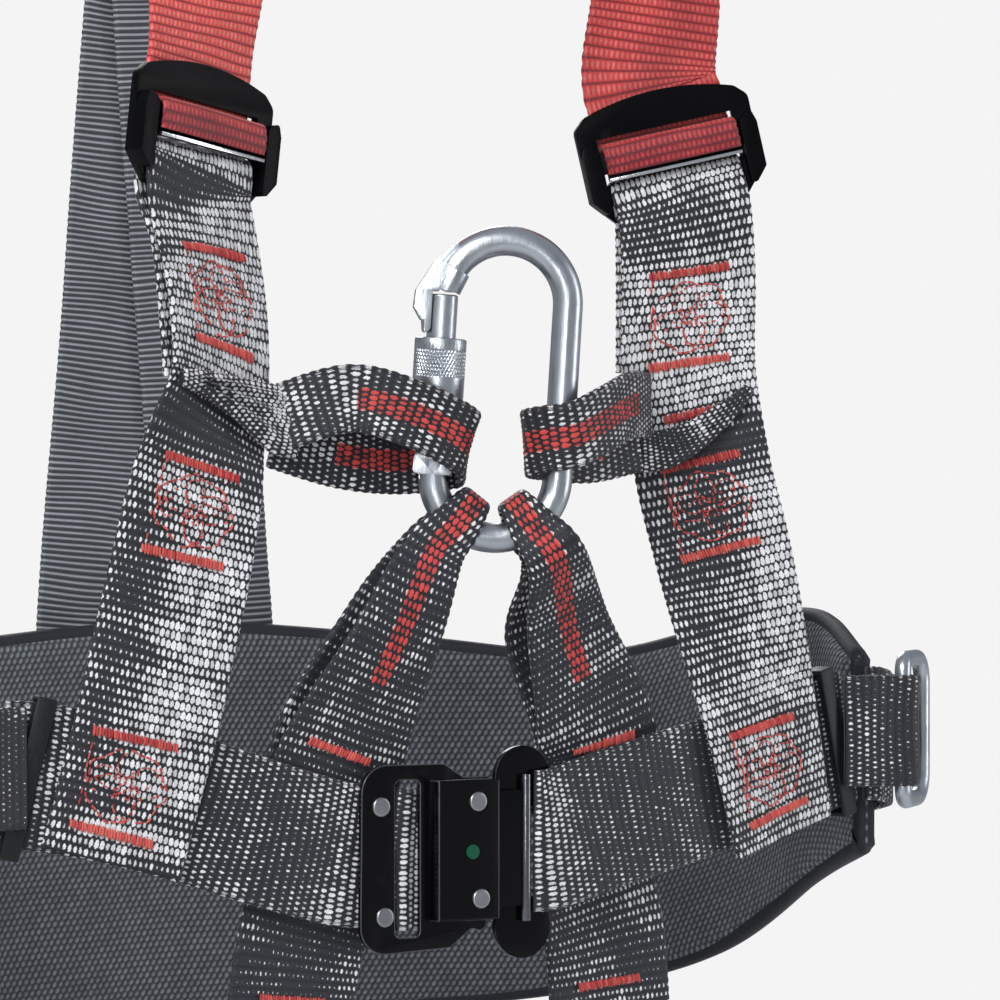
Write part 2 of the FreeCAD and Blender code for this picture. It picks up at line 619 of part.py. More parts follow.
frame_shape, bar_shape, roll_shape = adjuster_frame(), adjuster_bar(), adjuster_roll()
for side_name, side in SIDES.items():
    centre, azimuth, roll = ADJUSTERS[side_name]
    export(f"adjuster_frame_{side_name}", placed(frame_shape, centre, azimuth, roll))
    export(f"adjuster_bar_{side_name}", placed(bar_shape, centre, azimuth, roll))
    export(f"strap_roll_{side_name}", placed(roll_shape, centre, azimuth, roll))
    export(f"shoulder_strap_{side_name}", shoulder_strap(side))
    export(f"chest_strap_{side_name}", chest_strap(side))
    export(f"chest_loop_{side_name}", chest_loop(side))
    export(f"ventral_loop_{side_name}", ventral_loop(side))
    export(f"back_strap_{side_name}", back_strap(side))

export("belt_front_right", belt_front(BELT_RIGHT))
export("belt_front_left", belt_front(BELT_LEFT))
export("belt_rear", belt_rear())
export("back_pad", back_pad())
export("pad_binding", pad_binding())

ring = placed(side_ring(), RING_AXIS, RING_AZIMUTH)
for name, shape in (("side_ring", ring), ("ring_tab", ring_tab()), ("belt_keeper", keeper())):
    export(f"{name}_right", shape)
    export(f"{name}_left", mirrored(shape).translated(V(0, 0, -LEFT_DROP)))
paired = {
    "leg_strap": leg_strap(),
    "rear_riser": rear_riser(),
    "thigh_strap": thigh_band(THIGH_ADJUSTER_AT + 15, THIGH_ADJUSTER_AT + 345, 0.0, WEB_WIDTH, WEB_THICK),
    "thigh_pad": thigh_band(120, 300, -THIGH_PAD_IN, 62.0, 9.0),
    "leg_adjuster_frame": leg_adjuster(frame_shape),
    "leg_adjuster_bar": leg_adjuster(bar_shape),
}
for name, shape in paired.items():
    export(f"{name}_right", shape)
    export(f"{name}_left", mirrored(shape))

export("dorsal_plate", dorsal_plate())
export("dorsal_ring", dorsal_ring())

export("buckle_frame", buckle_frame())
export("buckle_cover", buckle_cover())
export("buckle_tongue", buckle_tongue())
export("buckle_rivets", buckle_rivets())
export("lock_indicator", rod((-2.8, layer(3)[0] - 0.6, -28), (-2.8, layer(3)[0], -28), 2.3))
for name, up in (("upper", 1), ("lower", -1)):
    export(f"release_lever_{name}", release_lever(up))
    export(f"release_spring_{name}", release_spring(up))

export("connector_body", connector_place(connector_body()))
export("gate", connector_place(gate()))
pin_half = ROD_R - 0.2
export("gate_pin", connector_place(rod((GATE_X, -pin_half, PIVOT_Z), (GATE_X, pin_half, PIVOT_Z), PIVOT_R)))
export("gate_spring", connector_place(rod((GATE_X, 0, -13.5), (GATE_X, 0, 10), GATE_BORE_R - 0.3)))
export("screw_sleeve", connector_place(sleeve()))
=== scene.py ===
"""Work harness with a positioning belt: webbing, padding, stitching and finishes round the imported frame.

Lengths are millimetres until a mesh is made, in the frame's own axes: the front faces -Y, +X is the viewer's
right seen from the front, and +Z is up. "side" is +1 for the viewer's right and -1 for the left.
"""
import json
import math
import random

import bmesh
import bpy
import numpy as np
from mathutils import Euler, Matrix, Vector

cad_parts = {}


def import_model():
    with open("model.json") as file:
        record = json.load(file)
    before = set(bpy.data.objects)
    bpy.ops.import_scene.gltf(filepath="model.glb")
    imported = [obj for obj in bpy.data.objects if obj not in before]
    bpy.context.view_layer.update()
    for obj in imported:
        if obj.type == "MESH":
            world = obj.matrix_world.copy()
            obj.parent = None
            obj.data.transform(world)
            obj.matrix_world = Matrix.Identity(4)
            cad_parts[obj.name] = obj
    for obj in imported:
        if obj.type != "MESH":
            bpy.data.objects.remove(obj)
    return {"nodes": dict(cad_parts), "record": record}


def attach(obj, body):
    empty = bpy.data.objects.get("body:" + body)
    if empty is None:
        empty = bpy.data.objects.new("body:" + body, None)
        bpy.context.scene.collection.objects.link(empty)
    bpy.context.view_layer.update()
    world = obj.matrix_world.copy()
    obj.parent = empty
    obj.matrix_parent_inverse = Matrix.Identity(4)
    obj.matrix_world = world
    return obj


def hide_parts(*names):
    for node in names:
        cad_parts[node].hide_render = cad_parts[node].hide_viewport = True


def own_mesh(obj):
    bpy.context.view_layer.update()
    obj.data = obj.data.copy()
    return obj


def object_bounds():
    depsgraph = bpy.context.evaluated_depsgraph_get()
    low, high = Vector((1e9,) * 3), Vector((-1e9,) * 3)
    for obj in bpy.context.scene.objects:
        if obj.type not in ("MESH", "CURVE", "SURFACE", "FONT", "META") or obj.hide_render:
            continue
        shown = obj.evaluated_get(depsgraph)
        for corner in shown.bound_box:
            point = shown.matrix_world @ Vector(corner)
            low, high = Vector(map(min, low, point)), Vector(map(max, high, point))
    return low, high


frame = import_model()
cad_box = [list(corner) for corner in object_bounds()]

MM = 0.001
WEB_WIDTH = 45.0
WEB_THICK = 2.4
LOOP_WIDTH = 21.0
LOOP_THICK = 2.6
GRAIN_ACROSS = 1.75         # spacing of the woven grains over the strap's width
GRAIN_ALONG = 2.95          # spacing of their rows
LEFT_DROP = 4.0             # how much lower the belt hangs at its left end
BACK_LAYER = {1: 109.6, -1: 112.6}      # y of each strap behind the back, where the left covers the right
TANGENT_REACH = 1.6         # how far ahead and back a strap's direction is taken
TACK_PITCH = 0.95           # between the strokes of a bar tack
STITCH_LIFT = 0.42          # of a thread's middle above the strap's face
RIB_PITCH = 2.1             # of the dark straps' ribs
SIDES = {"right": 1, "left": -1}
SIDE_NAMES = {1: "right", -1: "left"}
X_AXIS, Z_AXIS = (1.0, 0.0, 0.0), (0.0, 0.0, 1.0)


# ---------------------------------------------------------------- materials

class Shader:
    """A material's nodes, with short ways to write its sums."""

    def __init__(self, name):
        self.material = bpy.data.materials.new(name)
        self.material.use_nodes = True
        self.tree = self.material.node_tree
        self.main = self.tree.nodes["Principled BSDF"]

    def node(self, kind, **settings):
        made = self.tree.nodes.new(kind)
        for key, value in settings.items():
            setattr(made, key, value)
        return made

    def feed(self, socket, value):
        if isinstance(value, bpy.types.NodeSocket):
            self.tree.links.new(value, socket)
        elif isinstance(value, tuple) and len(value) == 3 and socket.type == "RGBA":
            socket.default_value = (*value, 1.0)
        else:
            socket.default_value = value

    def math(self, operation, *values, clamp=False):
        made = self.node("ShaderNodeMath", operation=operation, use_clamp=clamp)
        for socket, value in zip(made.inputs, values):
            self.feed(socket, value)
        return made.outputs[0]

    def mix(self, factor, first, second):
        made = self.node("ShaderNodeMix", data_type="RGBA")
        self.feed(made.inputs[0], factor)
        self.feed(made.inputs[6], first)
        self.feed(made.inputs[7], second)
        return made.outputs[2]

    def tint(self, colour, amount):
        """The colour, made brighter or darker by amount."""
        made = self.node("ShaderNodeVectorMath", operation="SCALE")
        self.feed(made.inputs[0], colour)
        self.feed(made.inputs[3], amount)
        return made.outputs[0]

    def ramp(self, value, low, high, new_low=0.0, new_high=1.0):
        made = self.node("ShaderNodeMapRange", interpolation_type="SMOOTHSTEP")
        for socket, number in zip(made.inputs, (value, low, high, new_low, new_high)):
            self.feed(socket, number)
        return made.outputs[0]

    def noise(self, scale, detail=2.0, stretch=(1, 1, 1), source=None):
        where = source or self.node("ShaderNodeTexCoord").outputs["Object"]
        mapping = self.node("ShaderNodeMapping")
        self.feed(mapping.inputs["Vector"], where)
        mapping.inputs["Scale"].default_value = stretch
        made = self.node("ShaderNodeTexNoise")
        self.feed(made.inputs["Vector"], mapping.outputs[0])
        made.inputs["Scale"].default_value = scale
        made.inputs["Detail"].default_value = detail
        return made.outputs["Fac"]

    def attribute(self, name):
        return self.node("ShaderNodeAttribute", attribute_name=name).outputs["Fac"]

    def weave_uv(self):
        made = self.node("ShaderNodeUVMap", uv_map="weave")
        split = self.node("ShaderNodeSeparateXYZ")
        self.feed(split.inputs[0], made.outputs[0])
        return made.outputs[0], split.outputs[0], split.outputs[1]

    def bump(self, height, distance, strength=1.0):
        made = self.node("ShaderNodeBump")
        self.feed(made.inputs["Height"], height)
        made.inputs["Distance"].default_value = distance
        made.inputs["Strength"].default_value = strength
        self.feed(self.main.inputs["Normal"], made.outputs[0])

    def set(self, **values):
        for key, value in values.items():
            self.feed(self.main.inputs[key.replace("_", " ")], value)


def grain_cells(s, across, along, across_pitch, along_pitch):
    """Place inside a woven grain (-0.5 to 0.5 both ways) and a random number for each; rows lie like bricks."""
    rows = s.math("DIVIDE", along, along_pitch)
    row = s.math("FLOOR", rows)
    shift = s.math("MULTIPLY", s.math("FLOORED_MODULO", row, 2.0), 0.5)
    columns = s.math("ADD", s.math("DIVIDE", across, across_pitch), shift)
    column = s.math("FLOOR", columns)
    cell = s.node("ShaderNodeCombineXYZ")
    s.feed(cell.inputs[0], column)
    s.feed(cell.inputs[1], row)
    chance = s.node("ShaderNodeTexWhiteNoise", noise_dimensions="2D")
    s.feed(chance.inputs["Vector"], cell.outputs[0])
    in_column = s.math("SUBTRACT", s.math("SUBTRACT", columns, column), 0.5)
    in_row = s.math("SUBTRACT", s.math("SUBTRACT", rows, row), 0.5)
    return in_column, in_row, chance.outputs["Value"]


def grain_distance(s, in_column, in_row):
    """1 at the rim of a full-sized grain, which is a little wider at its lower end."""
    wide = s.math("MULTIPLY", in_column, s.math("MULTIPLY_ADD", in_row, -0.55, 2.15))
    tall = s.math("MULTIPLY", in_row, 2.05)
    return s.math("SQRT", s.math("ADD", s.math("MULTIPLY", wide, wide), s.math("MULTIPLY", tall, tall)))


def webbing(name, cloth, grain, painted_shade, red_grain):
    """Woven strap: cloth colour, light grains of painted highlight sized by the pale attribute, and painted
    shade in the grooves.
    """
    s = Shader(name)
    place, across, along = s.weave_uv()
    in_column, in_row, chance = grain_cells(s, across, along, GRAIN_ACROSS, GRAIN_ALONG)
    distance = grain_distance(s, in_column, in_row)
    pale = s.attribute("pale")
    thread = s.noise(1.0, 3.0, (3.4, 0.9, 1.0), place)
    fleck = s.noise(1.0, 2.0, (1.3, 1.6, 1.0), place)
    distance = s.math("ADD", distance, s.math("MULTIPLY_ADD", fleck, 0.9, -0.45))
    size = s.math("ADD", s.math("MULTIPLY_ADD", pale, 0.92, 0.06), s.math("MULTIPLY", chance, 0.34))
    shown = s.ramp(s.math("SUBTRACT", s.math("MINIMUM", size, 1.10), distance), 0.0, 0.24)
    base = s.tint(cloth, s.math("MULTIPLY_ADD", thread, 1.7, 0.25))
    # Painted shade: the cloth darkens towards each row's edge, and between the grains where they show large.
    base = s.mix(s.ramp(s.math("ABSOLUTE", in_row), 0.26, 0.5, 0.0, 0.92), base, painted_shade)
    base = s.mix(s.ramp(size, 0.35, 0.85, 0.0, 0.75), base, painted_shade)
    # The light colour of the grains is a painted highlight, red within the red stripe.
    light = s.mix(s.math("MULTIPLY", s.attribute("red"), 0.96), grain, red_grain)
    light = s.tint(light, s.math("ADD", s.math("MULTIPLY_ADD", chance, 0.34, 0.16),
                                 s.math("MULTIPLY", thread, 0.90)))
    s.set(Base_Color=s.mix(shown, base, light), Roughness=s.math("MULTIPLY_ADD", thread, 0.2, 0.42))
    s.set(Sheen_Weight=0.12)
    s.set(Specular_IOR_Level=0.35)
    height = s.math("ADD", s.math("MULTIPLY", s.math("SUBTRACT", 1.0, distance), 0.5),
                    s.math("MULTIPLY", thread, 0.5))
    s.bump(height, 0.0003)
    return s.material


def red_webbing():
    """Ribbed red strap: a painted highlight as a bright grain high on each rib, red below it, and painted shade
    in the grooves.
    """
    s = Shader("red_webbing")
    place, across, along = s.weave_uv()
    in_column, in_row, chance = grain_cells(s, across, along, GRAIN_ACROSS, GRAIN_ALONG)
    distance = grain_distance(s, in_column, in_row)
    thread = s.noise(1.0, 3.0, (3.4, 0.8, 1.0), place)
    shade = s.noise(0.05, 2.0, (1, 1, 1), place)
    pale = s.attribute("pale")
    fleck = s.noise(1.0, 2.0, (1.3, 1.6, 1.0), place)
    distance = s.math("ADD", distance, s.math("MULTIPLY_ADD", fleck, 0.8, -0.4))
    # Lit and shaded copies of one red, set by the pale attribute: painted light and shade, deep red to salmon.
    base = s.tint(s.mix(pale, (0.19, 0.003, 0.010), (0.90, 0.055, 0.050)),
                  s.math("ADD", s.math("MULTIPLY_ADD", thread, 0.9, 0.25), s.math("MULTIPLY", shade, 0.5)))
    light = s.tint(s.mix(pale, (0.62, 0.045, 0.055), (1.0, 0.32, 0.26)),
                   s.math("MULTIPLY_ADD", chance, 0.35, 0.60))
    # high is the painted highlight on each rib's top; the dark red at the rows' edges is painted shade in the
    # grooves.
    high = s.ramp(distance, 0.95, 0.25)
    colour = s.mix(s.math("MULTIPLY", high, 0.85), base, light)
    colour = s.mix(s.ramp(s.math("ABSOLUTE", in_row), 0.30, 0.5, 0.0, 0.85), colour, (0.10, 0.002, 0.006))
    s.set(Base_Color=colour, Roughness=s.math("MULTIPLY_ADD", thread, 0.2, 0.38))
    s.set(Sheen_Weight=0.15)
    height = s.math("ADD", s.math("MULTIPLY", s.math("SUBTRACT", 1.0, distance), 0.5),
                    s.math("MULTIPLY", thread, 0.45))
    s.bump(height, 0.0003)
    return s.material


def ribbed_webbing():
    """Dark grey strap with smooth ribs across it, a painted highlight along each rib and painted shade between
    them.
    """
    s = Shader("dark_webbing")
    place, _, along = s.weave_uv()
    rib = s.math("ABSOLUTE", s.math("SUBTRACT", s.math("FRACT", s.math("DIVIDE", along, RIB_PITCH)), 0.5))
    thread = s.noise(1.0, 3.0, (2.6, 1.4, 1.0), place)
    wear_and_edge_highlight = s.noise(0.06, 3.0, (1, 1, 1), place)
    # The lighter colour on each rib's crest is a painted highlight, the darker colour between ribs painted
    # shade.
    body = s.mix(s.ramp(rib, 0.30, 0.08), (0.034, 0.038, 0.046), (0.300, 0.320, 0.355))
    body = s.tint(body, s.math("ADD", s.math("MULTIPLY_ADD", thread, 0.9, 0.25), s.math("MULTIPLY", wear_and_edge_highlight, 0.7)))
    s.set(Base_Color=body, Roughness=s.math("MULTIPLY_ADD", thread, 0.2, 0.5))
    s.set(Sheen_Weight=0.2)
    s.bump(s.math("MULTIPLY_ADD", thread, 0.4, s.math("SUBTRACT", 0.5, rib)), 0.0004)
    return s.material


def pad_mesh():
    """Spacer mesh: slanting rows of small raised cells with dark gaps."""
    s = Shader("pad_mesh")
    place, across, along = s.weave_uv()
    slanted = s.math("MULTIPLY_ADD", across, 0.62, along)
    rising = s.math("MULTIPLY_ADD", along, -0.55, across)
    in_column, in_row, chance = grain_cells(s, rising, slanted, 2.9, 2.5)
    distance = s.math("SQRT", s.math("ADD", s.math("POWER", s.math("MULTIPLY", in_column, 1.8), 2.0),
                                     s.math("POWER", s.math("MULTIPLY", in_row, 2.3), 2.0)))
    thread = s.noise(1.0, 3.0, (1.8, 1.8, 1.0), place)
    cloudy = s.noise(0.03, 3.0, (1, 1, 1), place)
    body = s.mix(s.ramp(distance, 1.05, 0.35), (0.030, 0.035, 0.043), (0.200, 0.222, 0.252))
    body = s.tint(body, s.math("ADD", s.math("MULTIPLY_ADD", chance, 0.35, 0.30),
                               s.math("MULTIPLY_ADD", thread, 0.55, s.math("MULTIPLY", cloudy, 0.5))))
    s.set(Base_Color=body, Roughness=0.78)
    s.set(Sheen_Weight=0.25)
    s.bump(s.math("MULTIPLY_ADD", thread, 0.25, s.math("SUBTRACT", 1.0, distance)), 0.0006)
    return s.material


def binding_tape():
    s = Shader("binding_tape")
    thread = s.noise(1.0, 3.0, (1.2, 3.2, 1.0), s.weave_uv()[0])
    s.set(Base_Color=s.mix(thread, (0.003, 0.004, 0.008), (0.016, 0.020, 0.030)),
          Roughness=s.math("MULTIPLY_ADD", thread, 0.25, 0.45))
    s.set(Sheen_Weight=0.05)
    s.bump(thread, 0.0003)
    return s.material


def zinc(name, tone, rough):
    """Bright plated steel, a little cloudy, with fine handling marks."""
    s = Shader(name)
    cloud = s.noise(90.0, 4.0)
    fine = s.noise(900.0, 3.0, (1, 1, 0.25))
    s.set(Base_Color=s.tint(tone, s.math("MULTIPLY_ADD", cloud, 0.32, 0.80)),
          Roughness=s.math("ADD", s.math("MULTIPLY_ADD", cloud, 0.18, rough - 0.09),
                           s.math("MULTIPLY", fine, 0.10)))
    s.set(Metallic=1.0)
    s.bump(s.math("ADD", fine, s.math("MULTIPLY", cloud, 0.6)), 0.00006)
    return s.material


def coated_steel(name, tone, rough, gloss, grain=0.0001):
    """Black coated steel with a faint orange-peel surface and paler rubbed places."""
    s = Shader(name)
    peel = s.noise(1400.0, 2.0)
    rubbed = s.ramp(s.noise(70.0, 5.0), 0.60, 0.80)
    s.set(Base_Color=s.mix(rubbed, tone, tuple(min(1.0, 2.6 * c + 0.004) for c in tone)),
          Roughness=s.math("ADD", s.math("MULTIPLY_ADD", peel, 0.12, rough - 0.06),
                           s.math("MULTIPLY", rubbed, 0.12)))
    s.set(Specular_IOR_Level=gloss)
    s.bump(peel, grain)
    return s.material


def moulded(name, tone, rough):
    s = Shader(name)
    grain = s.noise(1100.0, 3.0)
    s.set(Base_Color=s.tint(tone, s.math("MULTIPLY_ADD", grain, 0.5, 0.75)),
          Roughness=s.math("MULTIPLY_ADD", grain, 0.16, rough - 0.08))
    s.bump(grain, 0.00012)
    s.set(Specular_IOR_Level=0.3)
    return s.material


def sewing_thread():
    s = Shader("sewing_thread")
    _, across, along = s.weave_uv()
    twist = s.math("FRACT", s.math("MULTIPLY_ADD", along, 1.4, s.math("MULTIPLY", across, 1.8)))
    strand = s.ramp(s.math("ABSOLUTE", s.math("SUBTRACT", twist, 0.5)), 0.05, 0.45)
    body = s.mix(s.attribute("pale"), (0.50, 0.012, 0.018), (1.0, 0.17, 0.13))
    s.set(Base_Color=s.mix(s.math("MULTIPLY", strand, 0.35), body, (0.30, 0.006, 0.010)), Roughness=0.42)
    s.set(Sheen_Weight=0.2)
    s.bump(strand, 0.0002)
    return s.material


CLOTH = {
    # Grey webbing: charcoal cloth, near-white painted highlight for its grains, near-black painted shade for its
    # grooves, and the red of its stripe.
    "grey": webbing("grey_webbing", (0.019, 0.021, 0.027), (0.86, 0.86, 0.88), (0.010, 0.011, 0.014),
                    (0.72, 0.035, 0.028)),
    "red": red_webbing(),
    "dark": ribbed_webbing(),
    "pad": pad_mesh(),
    "binding": binding_tape(),
    "thread": sewing_thread(),
}
ZINC = zinc("zinc_steel", (0.52, 0.555, 0.60), 0.28)
BRIGHT = zinc("polished_bar", (0.80, 0.81, 0.83), 0.16)
RIVET = zinc("rivet_steel", (0.36, 0.37, 0.39), 0.30)
DARK_BAR = zinc("belt_bar_steel", (0.17, 0.175, 0.19), 0.14)
BLACK_STEEL = coated_steel("black_steel", (0.0022, 0.0022, 0.0032), 0.36, 0.08)
GLOSS_BLACK = coated_steel("gloss_black", (0.0018, 0.0018, 0.0026), 0.15, 0.20, 0.00004)
# A lighter, glossier coating for the rounded edges of the buckle parts: a painted highlight along those edges.
PAINTED_EDGE_HIGHLIGHT = coated_steel("painted_edge_highlight", (0.040, 0.041, 0.045), 0.20, 0.60, 0.00004)
BLACK_PLASTIC = moulded("black_plastic", (0.010, 0.011, 0.013), 0.42)
GREEN = moulded("green_plastic", (0.008, 0.085, 0.045), 0.16)


# ---------------------------------------------------------------- meshes

def finish_mesh(name, points, loops, starts, uv=None, fields=None, material=None):
    """Object from points in millimetres and faces given as loop indices."""
    mesh = bpy.data.meshes.new(name)
    mesh.vertices.add(len(points))
    mesh.vertices.foreach_set("co", (np.asarray(points, np.float64) * MM).astype(np.float32).ravel())
    mesh.loops.add(len(loops))
    mesh.loops.foreach_set("vertex_index", np.asarray(loops, np.int32))
    mesh.polygons.add(len(starts))
    mesh.polygons.foreach_set("loop_start", np.asarray(starts, np.int32))
    mesh.update(calc_edges=True)
    if uv is not None:
        layer = mesh.uv_layers.new(name="weave")
        layer.data.foreach_set("uv", uv[np.asarray(loops)].astype(np.float32).ravel())
    for key, values in (fields or {}).items():
        mesh.attributes.new(key, "FLOAT", "POINT").data.foreach_set("value", values.astype(np.float32))
    mesh.shade_smooth()
    if material:
        mesh.materials.append(material)
    obj = bpy.data.objects.new(name, mesh)
    bpy.context.scene.collection.objects.link(obj)
    return obj


def rings_to_faces(rows, ring):
    """Loops and starts of a closed tube of rows rings, with a cap at each end."""
    i, j = np.meshgrid(np.arange(rows - 1), np.arange(ring), indexing="ij")
    k = (j + 1) % ring
    quads = np.stack([i * ring + j, i * ring + k, (i + 1) * ring + k, (i + 1) * ring + j], -1).reshape(-1)
    caps = [np.arange(ring)[::-1], (rows - 1) * ring + np.arange(ring)]
    starts = np.concatenate([np.arange(0, len(quads), 4), [len(quads), len(quads) + ring]])
    return np.concatenate([quads, *caps]), starts


def closed_grid(rows, columns):
    """Loops and starts of a grid whose last row joins its first and whose last column joins its first."""
    i, j = np.meshgrid(np.arange(rows), np.arange(columns), indexing="ij")
    k, m = (j + 1) % columns, (i + 1) % rows
    quads = np.stack([i * columns + j, i * columns + k, m * columns + k, m * columns + j], -1).reshape(-1)
    return quads, np.arange(0, len(quads), 4)


def catmull(rows, steps=24):
    """Smooth curve through rows of numbers, with its ends held."""
    rows = np.asarray(rows, float)
    padded = np.concatenate([rows[:1], rows, rows[-1:]])
    share = np.arange(steps)[:, None] / steps
    pieces = []
    for i in range(len(rows) - 1):
        before, start, end, after = padded[i:i + 4]
        slope_in, slope_out = (end - before) / 2, (after - start) / 2
        a = 2 * start - 2 * end + slope_in + slope_out
        b = -3 * start + 3 * end - 2 * slope_in - slope_out
        pieces.append(((a * share + b) * share + slope_in) * share + start)
    return np.concatenate([*pieces, rows[-1:]])


def unit(vectors):
    return vectors / np.maximum(np.linalg.norm(vectors, axis=-1, keepdims=True), 1e-9)


def ripples(seed, count, low, high):
    """Smooth random function of two lengths, about -1 to 1, from waves between low and high millimetres."""
    draw = random.Random(seed)
    waves = []
    for _ in range(count):
        length = draw.uniform(low, high)
        turn = draw.uniform(0, math.tau)
        waves.append((math.cos(turn) * math.tau / length, math.sin(turn) * math.tau / length,
                      draw.uniform(0, math.tau)))

    def value(u, v):
        return sum(np.sin(a * u + b * v + c) for a, b, c in waves) / math.sqrt(count)
    return value


class Band:
    """Middle surface of a strap, from a route of (point, width direction, width)."""
    gather = 1.0            # how much closer together the grains lie than in flat cloth

    def __init__(self, route, thick=WEB_THICK, turn=1, upright=False, seed=1, sway=0.35):
        self.rows = catmull([[*point, *across, width] for point, across, width in route])
        steps = np.linalg.norm(np.diff(self.rows[:, :3], axis=0), axis=1)
        self.reach = np.concatenate([[0], np.cumsum(steps)])
        self.length, self.thick, self.turn, self.upright = self.reach[-1], thick, turn, upright
        self.seed, self.sway = seed, sway
        self.skew = np.array([(0, 0), (1, 0)])      # (distance along, slant) of the woven rows
        self.wobble = ripples(seed, 7, 9, 34)
        self.drift = ripples(seed + 50, 5, 30, 80)

    def sample(self, s):
        return np.stack([np.interp(s, self.reach, self.rows[:, k]) for k in range(7)], -1)

    def axes(self, s):
        """Point, across and outward at distance s along."""
        here = self.sample(s)
        along = unit(self.sample(np.minimum(s + TANGENT_REACH, self.length))[..., :3]
                     - self.sample(np.maximum(s - TANGENT_REACH, 0))[..., :3])
        across = here[..., 3:6]
        if not self.upright:
            across = across - along * np.sum(across * along, -1, keepdims=True)
        across = unit(across)
        out = unit(np.cross(along, across)) * self.turn
        return here[..., :3], across, out

    def at(self, u, s, lift=0.0):
        """World points for u across from the middle, s along and lift out of the middle surface."""
        u, s, lift = np.broadcast_arrays(*(np.asarray(x, float) for x in (u, s, lift)))
        point, across, out = self.axes(s)
        wave = self.sway * self.drift(u, s)
        return point + across * u[..., None] + out * (lift + wave)[..., None]

    def lattice(self, u, s):
        """Woven coordinates: the same lengths, a little unsteady, with the rows pulled slantwise in places."""
        u, rows = self.gather * u, self.gather * (s + self.slant(s) * u)
        return u + 0.22 * self.wobble(u * 0.6, s), rows + 0.42 * self.wobble(s * 0.8, u * 0.35 + 31)

    def slant(self, s):
        """How far the rows run up the strap for each millimetre across it."""
        return np.interp(s, self.skew[:, 0], self.skew[:, 1])


def grain_height(across, along):
    """Relief of the woven grains, 0 to 1, laid like the material's."""
    row = np.floor(along / GRAIN_ALONG)
    column = across / GRAIN_ACROSS + 0.5 * np.mod(row, 2)
    in_column = column - np.floor(column) - 0.5
    in_row = along / GRAIN_ALONG - row - 0.5
    distance = np.sqrt((in_column * (2.15 - 0.55 * in_row)) ** 2 + (in_row * 2.05) ** 2)
    return np.sqrt(np.clip(1 - distance ** 2, 0, 1))


def rib_height(across, along):
    return np.abs(np.cos(math.pi * along / RIB_PITCH)) ** 0.8


def painted_light_patches(base, painted_spots, seed, bands=0.20, clouds=0.14):
    """Painted light over (u, s), how large the highlight grains show: a base, soft random bands of light across,
    and chosen places of painted highlight and shadow, each (s, u, reach along, reach across, change)."""
    band, cloud = ripples(seed, 6, 7, 26), ripples(seed + 9, 6, 10, 40)

    def value(u, s):
        total = base + bands * band(u * 0.16, s) + clouds * cloud(u, s)
        for at_s, at_u, reach_s, reach_u, change in painted_spots:
            total = total + change * np.exp(-((s - at_s) / reach_s) ** 2 - ((u - at_u) / reach_u) ** 2)
        return np.clip(total, -0.25, 0.88)
    return value


def strap_object(name, band, cloth="grey", pale=None, red=None, relief=0.42, fine=(0.44, 0.62), both=False,
                 height=grain_height, pleat=(0.0, 1.0)):
    """Woven strap with rounded edges; fine is the grid's spacing across and along, both is relief behind too."""
    step_u, step_s = fine
    count_s = max(4, int(band.length / step_s)) + 1
    s = np.linspace(0, band.length, count_s)
    widest = band.rows[:, 6].max()
    columns = max(6, int(widest / step_u))
    edge = 0.5 * band.thick
    front = np.linspace(-1, 1, columns + 1)
    back = np.linspace(1, -1, (columns if both else max(4, columns // 3)) + 1)
    arc = np.radians([60, 30, 0, -30, -60])
    share = np.concatenate([front, np.ones(5), back, -np.ones(5)])
    face = np.concatenate([np.ones(len(front)), np.sin(arc), -np.ones(len(back)), -np.sin(arc)])
    bulge = np.concatenate([np.zeros(len(front)), np.cos(arc), np.zeros(len(back)), -np.cos(arc)])
    round_edge = edge * np.concatenate([0 * front, math.pi / 2 - arc, 0 * back, -math.pi / 2 - arc])
    ring = len(share)
    S, share_grid = np.meshgrid(s, share, indexing="ij")
    half = np.interp(S, band.reach, band.rows[:, 6]) / 2 - edge
    U = share_grid * half
    woven_u, woven_s = band.lattice(U, S)
    # The pale field is painted light: it sets how large the highlight grains show, painted shade where low, and
    # the relief's height.
    painted_light_field = pale(U, S) if pale else np.full_like(U, 0.5)
    raised = height(woven_u, woven_s)
    facing_out = (face > 0.99) | (both & (face < -0.99))
    strength = relief * (0.55 + 0.45 * np.clip(painted_light_field, 0, 1))
    lift = face * (band.thick / 2) + np.where(facing_out, np.sign(face), 0) * strength * (raised - 0.6)
    lift = lift + pleat[0] * np.sin(math.pi * S / band.length) * np.cos(pleat[1] * math.pi * share_grid)
    serration = 0.40 * np.abs(np.cos(math.pi * woven_s / GRAIN_ALONG))
    U_out = U + bulge * (edge + serration)
    points = band.at(U_out, S, lift).reshape(-1, 3)
    loops, starts = rings_to_faces(count_s, ring)
    uv = np.stack([woven_u + round_edge, woven_s], -1).reshape(-1, 2)
    fields = {"pale": painted_light_field.reshape(-1)}
    fields["red"] = (red(U, S) if red else np.zeros_like(U)).reshape(-1)
    if band.turn < 0:
        loops = flipped(loops, starts)
    obj = finish_mesh(name, points, loops, starts, uv, fields, CLOTH[cloth])
    return obj


def flipped(loops, starts):
    """The same faces, wound the other way."""
    ends = np.append(starts[1:], len(loops))
    same = loops.copy()
    quads = starts[ends - starts == 4]
    for k in range(4):
        same[quads + k] = loops[quads + 3 - k]
    for start, end in zip(starts, ends):
        if end - start != 4:
            same[start:end] = loops[start:end][::-1]
    return same


# ---------------------------------------------------------------- stitching

